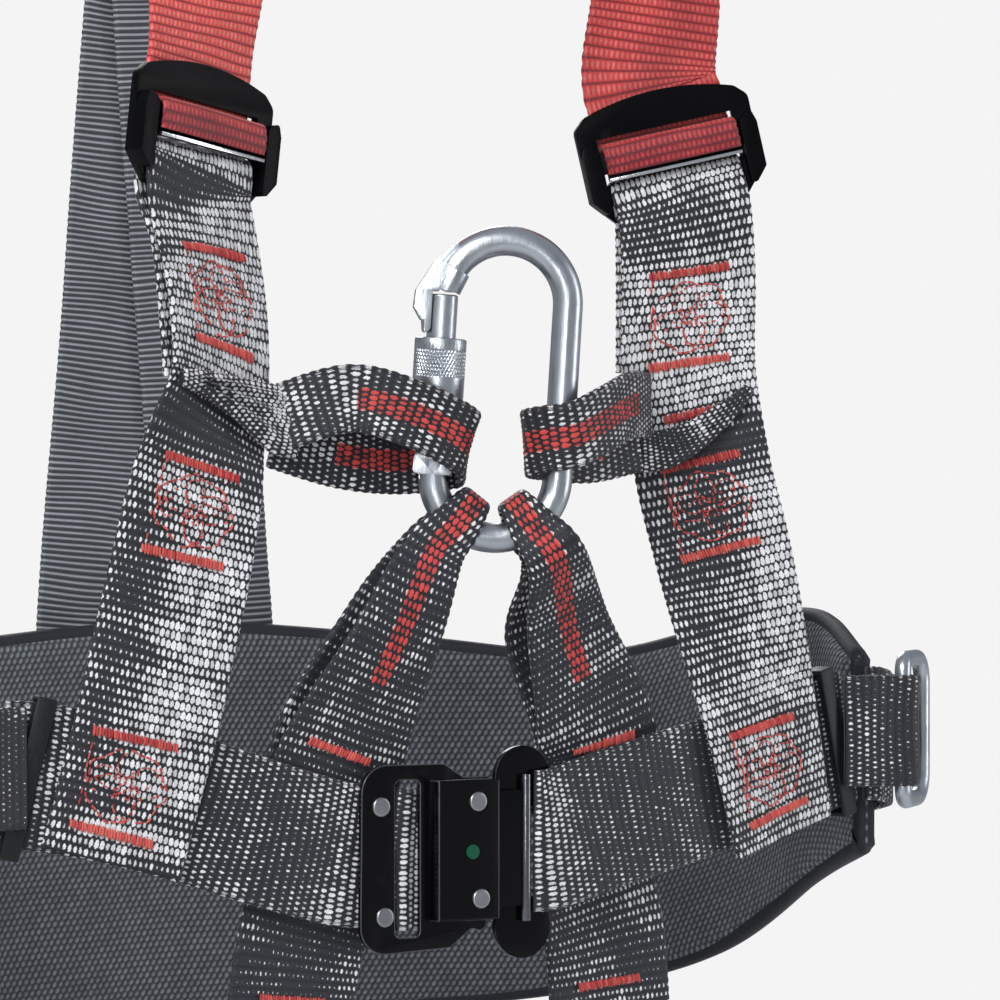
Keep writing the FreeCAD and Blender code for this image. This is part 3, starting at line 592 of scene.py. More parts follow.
class Threads:
    """Sewn stitches gathered into one mesh: short round pieces of thread lying on a strap."""

    def __init__(self):
        self.points, self.loops, self.starts, self.uv, self.tones = [], [], [], [], []
        self.total, self.length = 0, 0

    def add(self, path, radius, tone):
        """One stitch along path (n, 3), thinner at both ends; tone is dark red at 0 and light at 1."""
        path = np.asarray(path, float)
        along = unit(np.gradient(path, axis=0))
        helper = np.where(np.abs(along[:, 2:]) < 0.8, [0.0, 0.0, 1.0], [1.0, 0.0, 0.0])
        first = unit(np.cross(along, helper))
        second = np.cross(along, first)
        n, ring = len(path), 6
        t = np.linspace(0, 1, n)
        girth = radius * np.sqrt(np.clip(1 - (2 * t - 1) ** 6, 0.08, 1))
        angle = np.arange(ring) * math.tau / ring
        offsets = (first[:, None] * np.cos(angle)[:, None] + second[:, None] * np.sin(angle)[:, None])
        points = path[:, None] + offsets * girth[:, None, None]
        loops, starts = rings_to_faces(n, ring)
        travelled = np.concatenate([[0], np.cumsum(np.linalg.norm(np.diff(path, axis=0), axis=1))])
        uv = np.stack(np.meshgrid(angle / math.tau, travelled), -1)
        self.points.append(points.reshape(-1, 3))
        self.loops.append(loops + self.total)
        self.starts.append(starts + self.length)
        self.uv.append(uv.reshape(-1, 2))
        self.tones.append(np.full(n * ring, tone))
        self.total += n * ring
        self.length += len(loops)

    def tack(self, band, u_low, u_high, s, lift, tall=3.3, tone=0.5, seed=1, skip=0.0):
        """Dense bar of strokes along the strap, from u_low to u_high; skip is the share left out."""
        draw = random.Random(seed)
        lean = draw.uniform(-0.03, 0.03) - band.slant(s)
        for i in range(int((u_high - u_low) / TACK_PITCH)):
            u = u_low + i * TACK_PITCH
            middle = s + lean * (u - (u_low + u_high) / 2) + draw.uniform(-0.12, 0.12)
            half = tall / 2 * draw.uniform(0.80, 1.12)
            if draw.random() < skip:
                continue
            t = np.linspace(-1, 1, 6)
            rise = lift + 0.20 * np.cos(t * math.pi / 2) + draw.uniform(-0.06, 0.10)
            self.add(band.at(u + 0.25 * t + draw.uniform(-0.1, 0.1), middle + half * t, rise), 0.44,
                     tone + draw.uniform(-0.45, 0.45))

    def run(self, band, outline, lift, stitch=2.3, gap=0.5, radius=0.36, seed=1, skip=0.12):
        """Stitches one after another along an outline of (u, s) points."""
        draw = random.Random(seed)
        outline = np.asarray(outline, float)
        reach = np.concatenate([[0], np.cumsum(np.linalg.norm(np.diff(outline, axis=0), axis=1))])
        start = 0.0
        while start + stitch < reach[-1]:
            length = stitch * draw.uniform(0.8, 1.15)
            if draw.random() >= skip:
                here = np.linspace(start, min(start + length, reach[-1]), 7)
                u = np.interp(here, reach, outline[:, 0]) + draw.uniform(-0.35, 0.35)
                s = np.interp(here, reach, outline[:, 1]) + draw.uniform(-0.35, 0.35)
                s = s - band.slant(s) * u
                sink = 0.30 * np.abs(np.linspace(-1, 1, 7)) ** 4
                self.add(band.at(u, s, lift + draw.uniform(-0.10, 0.10) - sink), radius, draw.uniform(0, 1))
            start += length + gap

    def patch(self, band, s, lift, width=28.0, tall=30.0, u=0.0, seed=1, tones=(0.4, 0.7)):
        """Two bar tacks with a rosette between them, centred at (u, s)."""
        low, high = u - width / 2, u + width / 2
        for end, tone in zip((-1, 1), tones):
            self.tack(band, low, high, s + end * tall / 2, lift, tone=tone, seed=seed + end)
        theta = np.linspace(0, math.tau, 97)
        ring_u, ring_s = width * 0.46, tall * 0.38
        curves = [(0.99 + 0.05 * np.cos(7 * theta), 2.4, 0.4, 0.36, 0.08),
                  (0.64 + 0.26 * np.cos(4 * theta + 0.5), 1.5, 0.5, 0.30, 0.18),
                  (0.52 + 0.34 * np.cos(3 * theta + 2.1), 1.3, 0.6, 0.28, 0.25),
                  (0.22 + 0.12 * np.cos(5 * theta), 1.0, 0.3, 0.32, 0.20)]
        for number, (reach, stitch, gap, radius, skip) in enumerate(curves):
            outline = np.stack([u + ring_u * reach * np.cos(theta), s + ring_s * reach * np.sin(theta)], -1)
            self.run(band, outline, lift, stitch, gap, radius, seed + 3 * number, skip)
        edge = np.stack([np.full(12, low + 0.6), np.linspace(s - tall / 2 + 1, s + tall / 2 - 1, 12)], -1)
        self.run(band, edge, lift, radius=0.30, seed=seed + 5, skip=0.15)

    def object(self, name):
        obj = finish_mesh(name, np.concatenate(self.points), np.concatenate(self.loops),
                          np.concatenate(self.starts), np.concatenate(self.uv),
                          {"pale": np.concatenate(self.tones)}, CLOTH["thread"])
        return obj


# ---------------------------------------------------------------- places shared with the frame

ADJUSTERS = {
    "right": (Vector((84.5, -103.0, 200.0)), -20.0, 13.0),
    "left": (Vector((-88.5, -103.0, 200.0)), 18.5, -8.0),
}
CONNECTOR_CENTRE = Vector((6.3, -125.0, 119.4))
CONNECTOR_AZIMUTH, CONNECTOR_TILT = -25.0, 3.5
BOW_R, BOW_X, BOW_Z = 20.0, 1.0, 27.5
GATE_X = BOW_X - BOW_R


def turned(azimuth, roll):
    """Rotation that faces azimuth and lifts the right end by roll."""
    swing, lift = Euler((0, 0, math.radians(azimuth))), Euler((0, -math.radians(roll), 0))
    return swing.to_matrix() @ lift.to_matrix()


def facing(azimuth, roll=0.0):
    turn, lift = math.radians(azimuth), math.radians(roll)
    return (math.cos(turn) * math.cos(lift), math.sin(turn) * math.cos(lift), math.sin(lift))


def in_adjuster(side, across, outward, up):
    centre, azimuth, roll = ADJUSTERS[SIDE_NAMES[side]]
    return tuple(centre + turned(azimuth, roll) @ Vector((across, -outward, up)))


def on_connector(across, outward, up):
    return CONNECTOR_CENTRE + turned(CONNECTOR_AZIMUTH, -CONNECTOR_TILT) @ Vector((across, -outward, up))


def mirror_route(route):
    return [((-p[0], p[1], p[2]), a, w) for p, a, w in route]


def route_of(points, across):
    directions = across if isinstance(across, list) else [across] * len(points)
    return [(p, a, WEB_WIDTH) for p, a in zip(points, directions)]


def place(obj, body, *nodes):
    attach(obj, body)
    if nodes:
        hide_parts(*nodes)
    return obj


# ---------------------------------------------------------------- chest and shoulders

CHEST_ROWS = {
    1: [((89.6, -107.5, 158), -18, 5), ((89.6, -107.5, 126), -20, -2), ((93.8, -109.5, 94), -25, 0),
        ((99, -113, 68), -25, 2), ((106, -118, 32), -7, 5), ((112, -118.6, 8), 5, 7),
        ((122, -115.2, -28), 12, 12)],
    -1: [((-86.4, -107.5, 158), 22, -4), ((-83.6, -107.5, 124), 22, 2), ((-89.6, -109.5, 100), 10, 6),
         ((-96, -112.5, 80), -3, 2), ((-103, -115.5, 56), -10, -2), ((-113, -117.0, 18), -12, -6),
         ((-124.5, -114.0, -28), -12, -8)],
}
TAIL_BEHIND = 2.7           # how far the doubled layer lies behind the front one
TAIL_SHIFT = 1.6            # and how far it shows beside it
FRONT_LENGTH = 236.0        # of a chest strap, from the adjuster's bar to the belt


def chest_band(side):
    """Up behind the adjuster's lower bar, round it and down to the belt."""
    _, azimuth, roll = ADJUSTERS[SIDE_NAMES[side]]
    start = facing(azimuth, roll)
    tail = []
    for point, turn, lift in CHEST_ROWS[side][1::-1]:
        back = Vector((-math.sin(math.radians(turn)), math.cos(math.radians(turn)), 0)) * TAIL_BEHIND
        slide = Vector(facing(turn, lift)) * -TAIL_SHIFT
        tail.append((tuple(Vector(point) + back + slide), facing(turn, lift), WEB_WIDTH - 0.4))
    wrap = [(-2.9, -22.0), (-2.9, -13.0), (-2.7, -8.2), (-0.7, -6.6), (1.5, -8.1), (2.1, -11.0), (3.4, -22.0)]
    around = [(in_adjuster(side, 0, out, up), start, WEB_WIDTH - 0.6) for out, up in wrap]
    front = [(p, facing(turn, lift), WEB_WIDTH) for p, turn, lift in CHEST_ROWS[side]]
    band = Band([*tail, *around, *front], thick=2.2, seed=11 + side, sway=0.45)
    slant = 0.12 if side > 0 else -0.27
    start = band.length - FRONT_LENGTH
    band.skew = np.array([(start + 8, 0), (start + 30, slant), (start + 78, slant), (start + 104, 0)])
    return band


def shoulder_route(side):
    azimuth, roll = ADJUSTERS[SIDE_NAMES[side]][1:]
    lower = [in_adjuster(side, 0, -3.1, v) for v in (1.0, 14.0, 27.0)]
    layer_y = BACK_LAYER[side]
    upper = [(side * 83.0, -98.0, 262), (side * 80.0, -88.0, 320), (side * 75, -66, 378), (side * 69, -30, 418),
             (side * 62, 12, 430), (side * 53, 55, 418), (side * 38, 90, 388), (side * 22, layer_y - 2, 352),
             (side * 9, layer_y, 312)]
    start, calm = facing(azimuth, roll), facing(azimuth * 0.4)
    across = [start, start, start, calm, X_AXIS, X_AXIS, (1, -0.15 * side, 0.1 * side),
              (1, -0.2 * side, -0.1 * side), (1, -0.15 * side, -0.25 * side), (1, 0, -0.35 * side),
              (1, 0, -0.35 * side), (1, 0, -0.3 * side)]
    return route_of([*lower, *upper], across)


def roll_route(side):
    section = [(0.5, -1.5), (0.3, 3.2), (2.4, 5.2), (5.6, 4.9), (6.7, 1.5), (6.7, -2.2), (6.3, -4.0)]
    azimuth, roll = ADJUSTERS[SIDE_NAMES[side]][1:]
    return [(in_adjuster(side, 0, out, up), facing(azimuth, roll), WEB_WIDTH + 0.4) for out, up in section]


CHEST_PATCHES = {1: ((59, 0.5), (122, 0.0), (212, -1.0)), -1: ((55, 1.0), (124, 0.0), (212, -2.0))}
# Places of painted highlight and painted shadow on each chest strap, each (s, u, reach along, reach across,
# change); the deep dark ones near 100 mm are painted shadow below the fold.
CHEST_LIGHT_AND_SHADE_SPOTS = {
    1: [(8, 0, 12, 40, 0.25), (30, 0, 9, 30, -0.25), (58, 0, 24, 40, 0.2), (100, 10, 9, 16, -0.9),
        (92, 8, 14, 20, 0.25), (122, 0, 18, 14, -0.25), (158, -10, 26, 16, -0.3), (150, 18, 40, 8, 0.2),
        (212, -6, 16, 12, 0.1)],
    -1: [(6, 0, 8, 40, 0.45), (19, 0, 7, 24, -0.75), (34, 12, 16, 12, 0.3), (62, 4, 26, 30, 0.45),
         (84, -14, 16, 9, -0.4), (97, -4, 8, 22, -0.85), (100, 14, 20, 10, -0.2), (124, 0, 20, 12, 0.25),
         (150, -14, 30, 9, -0.5), (165, 13, 34, 11, 0.26), (200, 14, 24, 10, 0.2), (205, -18, 30, 6, -0.3)],
}

for side_name, side in SIDES.items():
    band = chest_band(side)
    front_start = band.length - FRONT_LENGTH
    painted_spots = [(front_start + spot[0], *spot[1:]) for spot in CHEST_LIGHT_AND_SHADE_SPOTS[side]]
    pale = painted_light_patches(0.68 if side > 0 else 0.64, painted_spots, 301 + side, 0.15, 0.08)
    place(strap_object(f"chest_webbing_{side_name}", band, pale=pale), "harness", f"chest_strap_{side_name}")
    sewn = Threads()
    for number, (at, across) in enumerate(CHEST_PATCHES[side]):
        sewn.patch(band, front_start + at, band.thick / 2 + STITCH_LIFT, u=across, seed=40 + number * 17 + side)
    if side > 0:
        sewn.tack(band, -10.0, 13.4, front_start + 91.0, band.thick / 2 + STITCH_LIFT, tone=0.3, seed=66)
    place(sewn.object(f"chest_stitching_{side_name}"), "harness")

    shoulder = Band(shoulder_route(side), turn=-1, seed=21 + side)
    # Painted light on the red straps: the left one is painted lighter than the right, as lit and shaded copies
    # of one red.
    bright = painted_light_patches(0.42 if side > 0 else 0.95, [], 311 + side, 0.05, 0.10)
    place(strap_object(f"shoulder_webbing_{side_name}", shoulder, "red", bright, fine=(0.58, 0.74), relief=0.5),
          "harness", f"shoulder_strap_{side_name}")
    rolled = Band(roll_route(side), thick=1.7, turn=-1, seed=31 + side, sway=0.1)
    # The roll is painted in shade, with a painted highlight along its middle.
    bright = painted_light_patches(0.0, [(10.5, 0, 2.4, 60, 0.55)], 313 + side, 0.04, 0.05)
    place(strap_object(f"rolled_webbing_{side_name}", rolled, "red", bright, fine=(0.42, 0.42), relief=0.45),
          f"adjuster_bar_{side_name}", f"strap_roll_{side_name}")


def back_strap(side):
    layer_y = BACK_LAYER[side]
    points = [(side * 1.6, layer_y, 300), (side * 9.5, layer_y, 205), (side * 17.5, layer_y, 110),
              (side * 24, layer_y, 35), (side * 27, layer_y, -48)]
    band = Band(route_of(points, (1, 0, side * 0.085)), turn=1, seed=61 + side)
    strap = strap_object(f"back_webbing_{SIDE_NAMES[side]}", band, "dark", fine=(1.1, 0.42), relief=0.45,
                         both=True, height=rib_height)
    place(strap, "harness", f"back_strap_{SIDE_NAMES[side]}")


for side in SIDES.values():
    back_strap(side)


# ---------------------------------------------------------------- loops round the connector

def chest_loop_route(side):
    if side > 0:
        leg = on_connector(BOW_X + BOW_R, 0, -14.0)
        root = Vector((68, -113.5, 112))
        heights = (8.0, 7.8, 3.5, -2.0, -3.5, -5.0, -6.0, -6.6, -3.0)
        lean = (0.1, 0.2, 0.27, 0.28, 0.2, 0.1, 0.0, 0.0, 0.0)
    else:
        leg = on_connector(GATE_X, 0, -18.0)
        root = Vector((-62.5, -105, 114))
        heights = (3.0, 9.5, 4.5, -3.0, -6.5, -8.5, -10.0, -8.0, -2.0)
        lean = (0.0, 0.1, 0.36, 0.42, 0.2, 0.0, 0.0, 0.0, 0.0)
    run = leg - root
    run.z = 0
    reach = run.length
    along = run.normalized()
    front = Vector((along.y, -along.x, 0))
    if front.y > 0:
        front = -front
    plan = [(0, 2.2), (reach * 0.42, 8.5), (reach * 0.8, 12.2), (reach + 6.0, 10.2), (reach + 10.3, 1.5),
            (reach + 7.0, -8.0), (reach * 0.8, -11.0), (reach * 0.42, -7.0), (0, -2.2)]
    level = root.z * 0.35 + leg.z * 0.65
    route = []
    for (distance, off), height, tip in zip(plan, heights, lean):
        point = root + along * distance + front * off
        point.z = level + height
        route.append((tuple(point), tuple(Vector(Z_AXIS) + along * tip), LOOP_WIDTH))
    return route


def fold_route(side):
    """The chest webbing gathered and turned sideways into its loop."""
    if side > 0:
        turn, lift = -20, -2
        rows = [((108.4, -114.3, 120.8), 46, 3.6, 1.6), ((104.3, -112.8, 116.4), 46, 5.5, 2.6),
                ((97.0, -110.2, 110.3), 50, 8.0, 3.8), ((90.1, -107.6, 105.0), 54, 10, 4.6),
                ((83.8, -106.0, 101.8), 66, 12, 4.6), ((77.5, -105.6, 100.2), 80, 13, 3.4),
                ((70.5, -106.8, 99.6), 88, 13, 1.0)]
    else:
        turn, lift = 22, 2
        rows = [((-102.5, -114.9, 122.2), 60, 5.0, 1.6), ((-95.0, -112.0, 120.8), 64, 7.0, 2.8),
                ((-88.0, -109.3, 118.6), 66, 10, 4.0), ((-79.0, -106.4, 115.4), 70, 14, 5.0),
                ((-70.5, -105.4, 111.8), 74, 19, 4.8), ((-63.5, -105.4, 109.0), 82, 22, 3.2),
                ((-56.5, -106.8, 107.6), 90, 21, 1.0)]
    wide = Vector(facing(turn, lift))
    outward = Vector((math.sin(math.radians(turn)), -math.cos(math.radians(turn)), 0))
    route = []
    for point, swing, width, out in rows:
        swing = math.radians(swing)
        across = wide * math.cos(swing) - Vector(Z_AXIS) * math.sin(swing) * side
        route.append((tuple(Vector(point) + outward * out), tuple(across), width))
    return route


def ventral_route(side):
    angle = math.radians(308 if side > 0 else 234)
    bar = (BOW_X + BOW_R * math.cos(angle), -BOW_Z + BOW_R * math.sin(angle))
    radial = (math.cos(angle), math.sin(angle))
    tangent = on_connector(-radial[1] * side, 0, radial[0] * side) - CONNECTOR_CENTRE
    if tangent.x < 0:
        tangent = -tangent

    def around(out, away):
        return tuple(on_connector(bar[0] + radial[0] * away, out, bar[1] + radial[1] * away))

    tangent = tuple(tangent)
    belt_x = 52.0 if side > 0 else -42.0
    foot_x = 49.0 * side
    mid_front = (34 if side > 0 else -28, -122.5, 42)
    mid_rear = (33 if side > 0 else -27, -109.5, 42)
    slant = (1, 0, 0.25 * side)
    return [((foot_x, -110.9, -21), X_AXIS, WEB_WIDTH), ((belt_x, -111.4, 4), X_AXIS, WEB_WIDTH),
            (mid_front, slant, 30.0), (around(9.8, 13), tangent, 20.0), (around(8.4, 0.5), tangent, 15.5),
            (around(5.2, -9.2), tangent, 10.5), (around(-5.2, -9.2), tangent, 10.5),
            (around(-8.4, 0.5), tangent, 15.5), (around(-9.4, 13), tangent, 20.0), (mid_rear, slant, 30.0),
            ((belt_x, -107.9, 8), X_AXIS, WEB_WIDTH), ((foot_x, -107.6, -21), X_AXIS, WEB_WIDTH)]


def stripe(half, start, end):
    """Red grains along the middle of a strap, between two distances."""
    def value(u, s):
        wide = np.clip((half - np.abs(u)) / 0.5, 0, 1)
        return wide * ((s > start) & (s < end))
    return value


def over_stripe(pale, red, full=0.72):
    """The pale field of painted light for a strap, made high enough that its red stripe's grains all show large.
    """
    def value(u, s):
        return np.maximum(pale(u, s), full * red(u, s))
    return value


for side_name, side in SIDES.items():
    loop = Band(chest_loop_route(side), LOOP_THICK, turn=side, seed=71 + side, sway=0.3)
    red = stripe(3.9, 14.0, loop.length - 16.0) if side > 0 else stripe(3.9, 26.0, loop.length - 22.0)
    # The loop's pale field is painted light; its red stripe is the webbing's own colour.
    pale = over_stripe(painted_light_patches(0.38, [], 330 + side, 0.14, 0.18), red)
    place(strap_object(f"chest_loop_webbing_{side_name}", loop, pale=pale, red=red, relief=0.5, both=True),
          "harness", f"chest_loop_{side_name}")
    fold = Band(fold_route(side), 3.0, turn=1, seed=75 + side, sway=0.4)
    fold.gather = 1.45
    # The fold's pale field is painted light, set lighter on the left than on the right.
    pale = painted_light_patches(0.34 if side > 0 else 0.62, [], 334 + side, 0.20, 0.20)
    place(strap_object(f"chest_fold_webbing_{side_name}", fold, pale=pale, relief=0.35, fine=(0.30, 0.36),
                       pleat=(0.5, 2.0) if side > 0 else (1.0, 3.0)), "harness")
    loop = Band(ventral_route(side), LOOP_THICK, turn=-1, seed=81 + side, sway=0.2)
    red = stripe(3.6, 50.0, loop.length - 50.0)
    # The loop's pale field is painted light; its red stripe is the webbing's own colour.
    pale = over_stripe(painted_light_patches(0.27, [], 340 + side, 0.16, 0.18), red)
    place(strap_object(f"ventral_loop_webbing_{side_name}", loop, pale=pale, red=red, relief=0.5, both=True),
          "harness", f"ventral_loop_{side_name}")
    sewn = Threads()
    sewn.tack(loop, -12 + 2 * side, 12 + 2 * side, 26.0, LOOP_THICK / 2 + 0.45, tone=0.6, seed=15 + side)
    place(sewn.object(f"ventral_stitching_{side_name}"), "harness")


# ---------------------------------------------------------------- belt

BELT_RIGHT = [(21.6, -121.9, -25.6), (23.2, -123.0, -25.6), (27, -123.2, -25.3), (34, -122.2, -23.9),
              (58, -119.6, -18), (90, -115.6, -11), (122, -110.4, -4), (145, -104.9, 1.5), (156, -101.8, 4)]
BELT_LEFT = [(-16, -114.3, -30.6), (-19.5, -115.0, -30.4), (-22.8, -116.6, -30.2), (-26, -115.2, -30.0),
             (-31, -114.3, -29.5), (-46, -114.8, -27.5), (-70, -116.0, -21),
             (-98, -114.4, -12), (-124, -110.0, -5), (-146, -104.6, -1), (-156, -101.8, 0)]
BELT_REAR = [(166, -99.2, 4.6), (174, -96.4, 4), (186.5, -82, 1), (193, -42, -5), (187, 12, -12),
             (157, 66, -22), (97, 105, -28), (54, 115.8, -30), (0, 116.6, -30)]

belt_right = Band(route_of(BELT_RIGHT, Z_AXIS), turn=-1, seed=91, sway=0.3)
belt_left = Band(route_of(BELT_LEFT, Z_AXIS), turn=1, seed=92, sway=0.3)
# Painted light on the belt's front: places of painted highlight and painted shade along each half.
right_painted_light = painted_light_patches(0.26, [(4, 0, 8, 40, 0.3), (55, 0, 26, 16, -0.3)], 351, 0.10, 0.10)
left_painted_light = painted_light_patches(0.46, [(6, 0, 6, 40, 0.15), (13, 0, 4, 40, -0.6), (24, 0, 7, 40, 0.25),
                           (55, 0, 26, 16, -0.35)], 352, 0.10, 0.10)
place(strap_object("belt_webbing_right", belt_right, pale=right_painted_light), "harness", "belt_front_right")
place(strap_object("belt_webbing_left", belt_left, pale=left_painted_light), "harness", "belt_front_left")

rear_left = [(-x, y, z - LEFT_DROP * max(0.0, 1 - (y + 101) / 60)) for x, y, z in BELT_REAR[-2::-1]]
belt_rear = Band(route_of([*BELT_REAR, *rear_left], Z_AXIS), turn=-1, seed=93)
# The rear belt's pale field is painted light.
place(strap_object("belt_webbing_rear", belt_rear, pale=painted_light_patches(0.30, [], 353), fine=(0.88, 0.74)),
      "harness", "belt_rear")

RING_TAB = [(151, -108.6), (158, -110.4), (167, -115.3), (173.6, -116.6), (177.2, -112.2), (174.6, -107.8),
            (168, -106.0), (161, -105.4)]
for side_name, side in SIDES.items():
    height = 6.0 if side > 0 else 6.0 - LEFT_DROP
    route = [((side * x, y, height), Z_AXIS, WEB_WIDTH - 8) for x, y in RING_TAB]
    tab = Band(route, turn=-side, seed=95 + side, sway=0.15)
    # The ring tab's pale field is painted light.
    pale = painted_light_patches(0.15, [], 360 + side)
    place(strap_object(f"ring_tab_webbing_{side_name}", tab, pale=pale, fine=(0.6, 0.62)),
          "harness", f"ring_tab_{side_name}")


# ---------------------------------------------------------------- pads

PAD_PLAN = [((178, -81), 30, -36), ((184, -40), 44, -50), ((178, 10), 38, -78), ((150, 57), 27, -94),
            ((90, 91), 33, -102), ((0, 101), 39, -105)]
PAD_THICK = 11.0


def pad_object(name, band, thick, edge, step=2.4):
    """Crowned foam pad: full in the middle, drawn in at its sewn edges."""
    count_s = int(band.length / step) + 1
    s = np.linspace(0, band.length, count_s)
    columns = 60
    front = np.linspace(-1, 1, columns + 1)
    share = np.concatenate([front, front[-2:0:-1]])
    face = np.concatenate([np.ones(columns + 1), -np.ones(columns - 1)])
    S, share_grid = np.meshgrid(s, share, indexing="ij")
    half = np.interp(S, band.reach, band.rows[:, 6]) / 2
    U = share_grid * half
    from_edge = np.minimum(half - np.abs(U), np.minimum(S, band.length - S))
    crown = np.clip(from_edge / edge, 0, 1)
    crown = np.sqrt(np.clip(1 - (1 - crown) ** 2, 0, 1)) * 0.62 + 0.38 * np.clip(from_edge / 3.0, 0.25, 1)
    lumps = 0.5 * ripples(band.seed + 5, 6, 30, 70)(U, S)
    lift = face * (thick / 2 * crown + lumps * crown)
    points = band.at(U, S, lift).reshape(-1, 3)
    loops, starts = rings_to_faces(count_s, len(share))
    uv = np.stack([U, S], -1).reshape(-1, 2)
    if band.turn < 0:
        loops = flipped(loops, starts)
    obj = finish_mesh(name, points, loops, starts, uv, None, CLOTH["pad"])
    return obj


pad_stations = [(x, y, top, bottom) for (x, y), top, bottom in PAD_PLAN]
pad_stations += [(-x, y, top, bottom) for x, y, top, bottom in pad_stations[-2::-1]]
pad_band = Band([((x, y, (top + bottom) / 2), Z_AXIS, top - bottom) for x, y, top, bottom in pad_stations],
                upright=True, turn=-1, seed=101, sway=0.6)
back_pad = pad_object("back_cushion", pad_band, PAD_THICK, 16.0)
place(back_pad, "harness", "back_pad")


def edge_tape(name, band, node, wide=10.5, thick=6.5):
    """Tape folded over the pad's edge, all the way round."""
    s = np.linspace(0, band.length, int(band.length / 3) + 1)
    half = np.interp(s, band.reach, band.rows[:, 6]) / 2
    inset = 1.2
    path = [(h - inset, t) for h, t in zip(half, s)]
    far_end = np.linspace(half[-1] - inset, -(half[-1] - inset), 24)[1:-1]
    near_end = np.linspace(-(half[0] - inset), half[0] - inset, 24)[1:-1]
    path += [(u, band.length - inset) for u in far_end]
    path += [(inset - h, t) for h, t in zip(half[::-1], s[::-1])]
    path += [(u, inset) for u in near_end]
    path = np.array(path)
    centre = np.array([0, band.length / 2])
    inward = []
    for k in range(len(path)):
        ahead, behind = path[(k + 1) % len(path)], path[k - 1]
        tangent = ahead - behind
        tangent = tangent / max(np.linalg.norm(tangent), 1e-6)
        normal = np.array([tangent[1], -tangent[0]])
        if np.dot(centre - path[k], normal) < 0 and abs(path[k][0]) > 1:
            normal = -normal
        inward.append(normal)
    section = []
    for angle in np.radians(np.arange(-90, 91, 22.5)):
        section.append((-wide / 2 * math.cos(angle) * 0.55, thick / 2 * math.sin(angle)))
    section += [(wide - 2.2, thick / 2 * 1.15), (wide - 1.6, thick / 2 * 0.85)]
    section += [(wide - 1.6, -thick / 2 * 0.85), (wide - 2.2, -thick / 2 * 1.15)]
    rows, uv = [], []
    for (u, t), normal in zip(path, inward):
        for k, (deep, lift) in enumerate(section):
            rows.append(band.at(u + normal[0] * deep, t + normal[1] * deep, lift))
            uv.append((k * 1.5, t))
    loops, starts = closed_grid(len(path), len(section))
    obj = finish_mesh(name, np.array(rows), loops, starts, np.array(uv, float), None, CLOTH["binding"])
    place(obj, "harness", node)


edge_tape("back_cushion_binding", pad_band, "pad_binding")


# ---------------------------------------------------------------- legs

THIGH = (97.0, -5.0, -236.0)
THIGH_RX, THIGH_RY = 88.0, 92.0
THIGH_ADJUSTER_AT = 62.0    # degrees round the thigh from the front
THIGH_GAP = 15.0            # degrees between the adjuster's middle and each end of the thigh strap


def thigh_point(theta, offset=0.0):
    turn = math.radians(theta)
    out = (math.sin(turn), -math.cos(turn))
    return (THIGH[0] + (THIGH_RX + offset) * out[0], THIGH[1] + (THIGH_RY + offset) * out[1],
            THIGH[2] + 16.0 * math.cos(turn))


def thigh_route(start, end, offset, width):
    count = max(4, int(abs(end - start) / 24))
    return [(thigh_point(start + (end - start) * i / count, offset), Z_AXIS, width) for i in range(count + 1)]


LEG = [(50, -109.2, -36), (57, -108, -62), (62, -105.5, -110), (70, -103.5, -160), (80, -101.6, -205),
       (82, -101.4, -238)]
RISER = [(80, 113.0, -53), (84, 108.5, -95), (89, 101, -150), (94, 93.5, -205), (96, 91.2, -262)]
for side_name, side in SIDES.items():
    leg = Band(route_of([(side * x, y, z) for x, y, z in LEG], X_AXIS), turn=1, seed=111 + side)
    # The pale fields of the leg, riser and thigh straps are painted light.
    place(strap_object(f"leg_webbing_{side_name}", leg, pale=painted_light_patches(0.15, [], 370 + side)),
          "harness", f"leg_strap_{side_name}")
    sewn = Threads()
    sewn.tack(leg, -12, 12, 39.0, leg.thick / 2 + 0.45, seed=5)
    place(sewn.object(f"leg_stitching_{side_name}"), "harness")
    riser = Band(route_of([(side * x, y, z) for x, y, z in RISER], X_AXIS), turn=-1, seed=114 + side)
    pale = painted_light_patches(0.2, [], 380 + side)
    place(strap_object(f"riser_webbing_{side_name}", riser, pale=pale, fine=(0.88, 0.74)),
          "harness", f"rear_riser_{side_name}")
    # The ends stop short of the leg adjuster on both sides, as in the CAD: a known fault.
    route = thigh_route(THIGH_ADJUSTER_AT + THIGH_GAP, THIGH_ADJUSTER_AT + 360 - THIGH_GAP, 0.0, WEB_WIDTH)
    pad_route = thigh_route(120, 300, -7.0, 62.0)
    if side < 0:
        route, pad_route = mirror_route(route), mirror_route(pad_route)
    thigh = Band(route, turn=-side, seed=117 + side)
    pale = painted_light_patches(0.2, [], 390 + side)
    place(strap_object(f"thigh_webbing_{side_name}", thigh, pale=pale, fine=(0.88, 0.74)),
          "harness", f"thigh_strap_{side_name}")
    pad = Band(pad_route, turn=-side, seed=121 + side, sway=0.3)
    cushion = pad_object(f"thigh_cushion_{side_name}", pad, 9.0, 12.0)
    place(cushion, "harness", f"thigh_pad_{side_name}")


# ---------------------------------------------------------------- hardware

NODE_BODY = {node: body for body, nodes in frame["record"]["behaviour"]["bodies"].items() for node in nodes}


def applied(obj):
    """The object with its modifiers made part of its mesh."""
    depsgraph = bpy.context.evaluated_depsgraph_get()
    mesh = bpy.data.meshes.new_from_object(obj.evaluated_get(depsgraph))
    obj.modifiers.clear()
    obj.data = mesh
    return obj


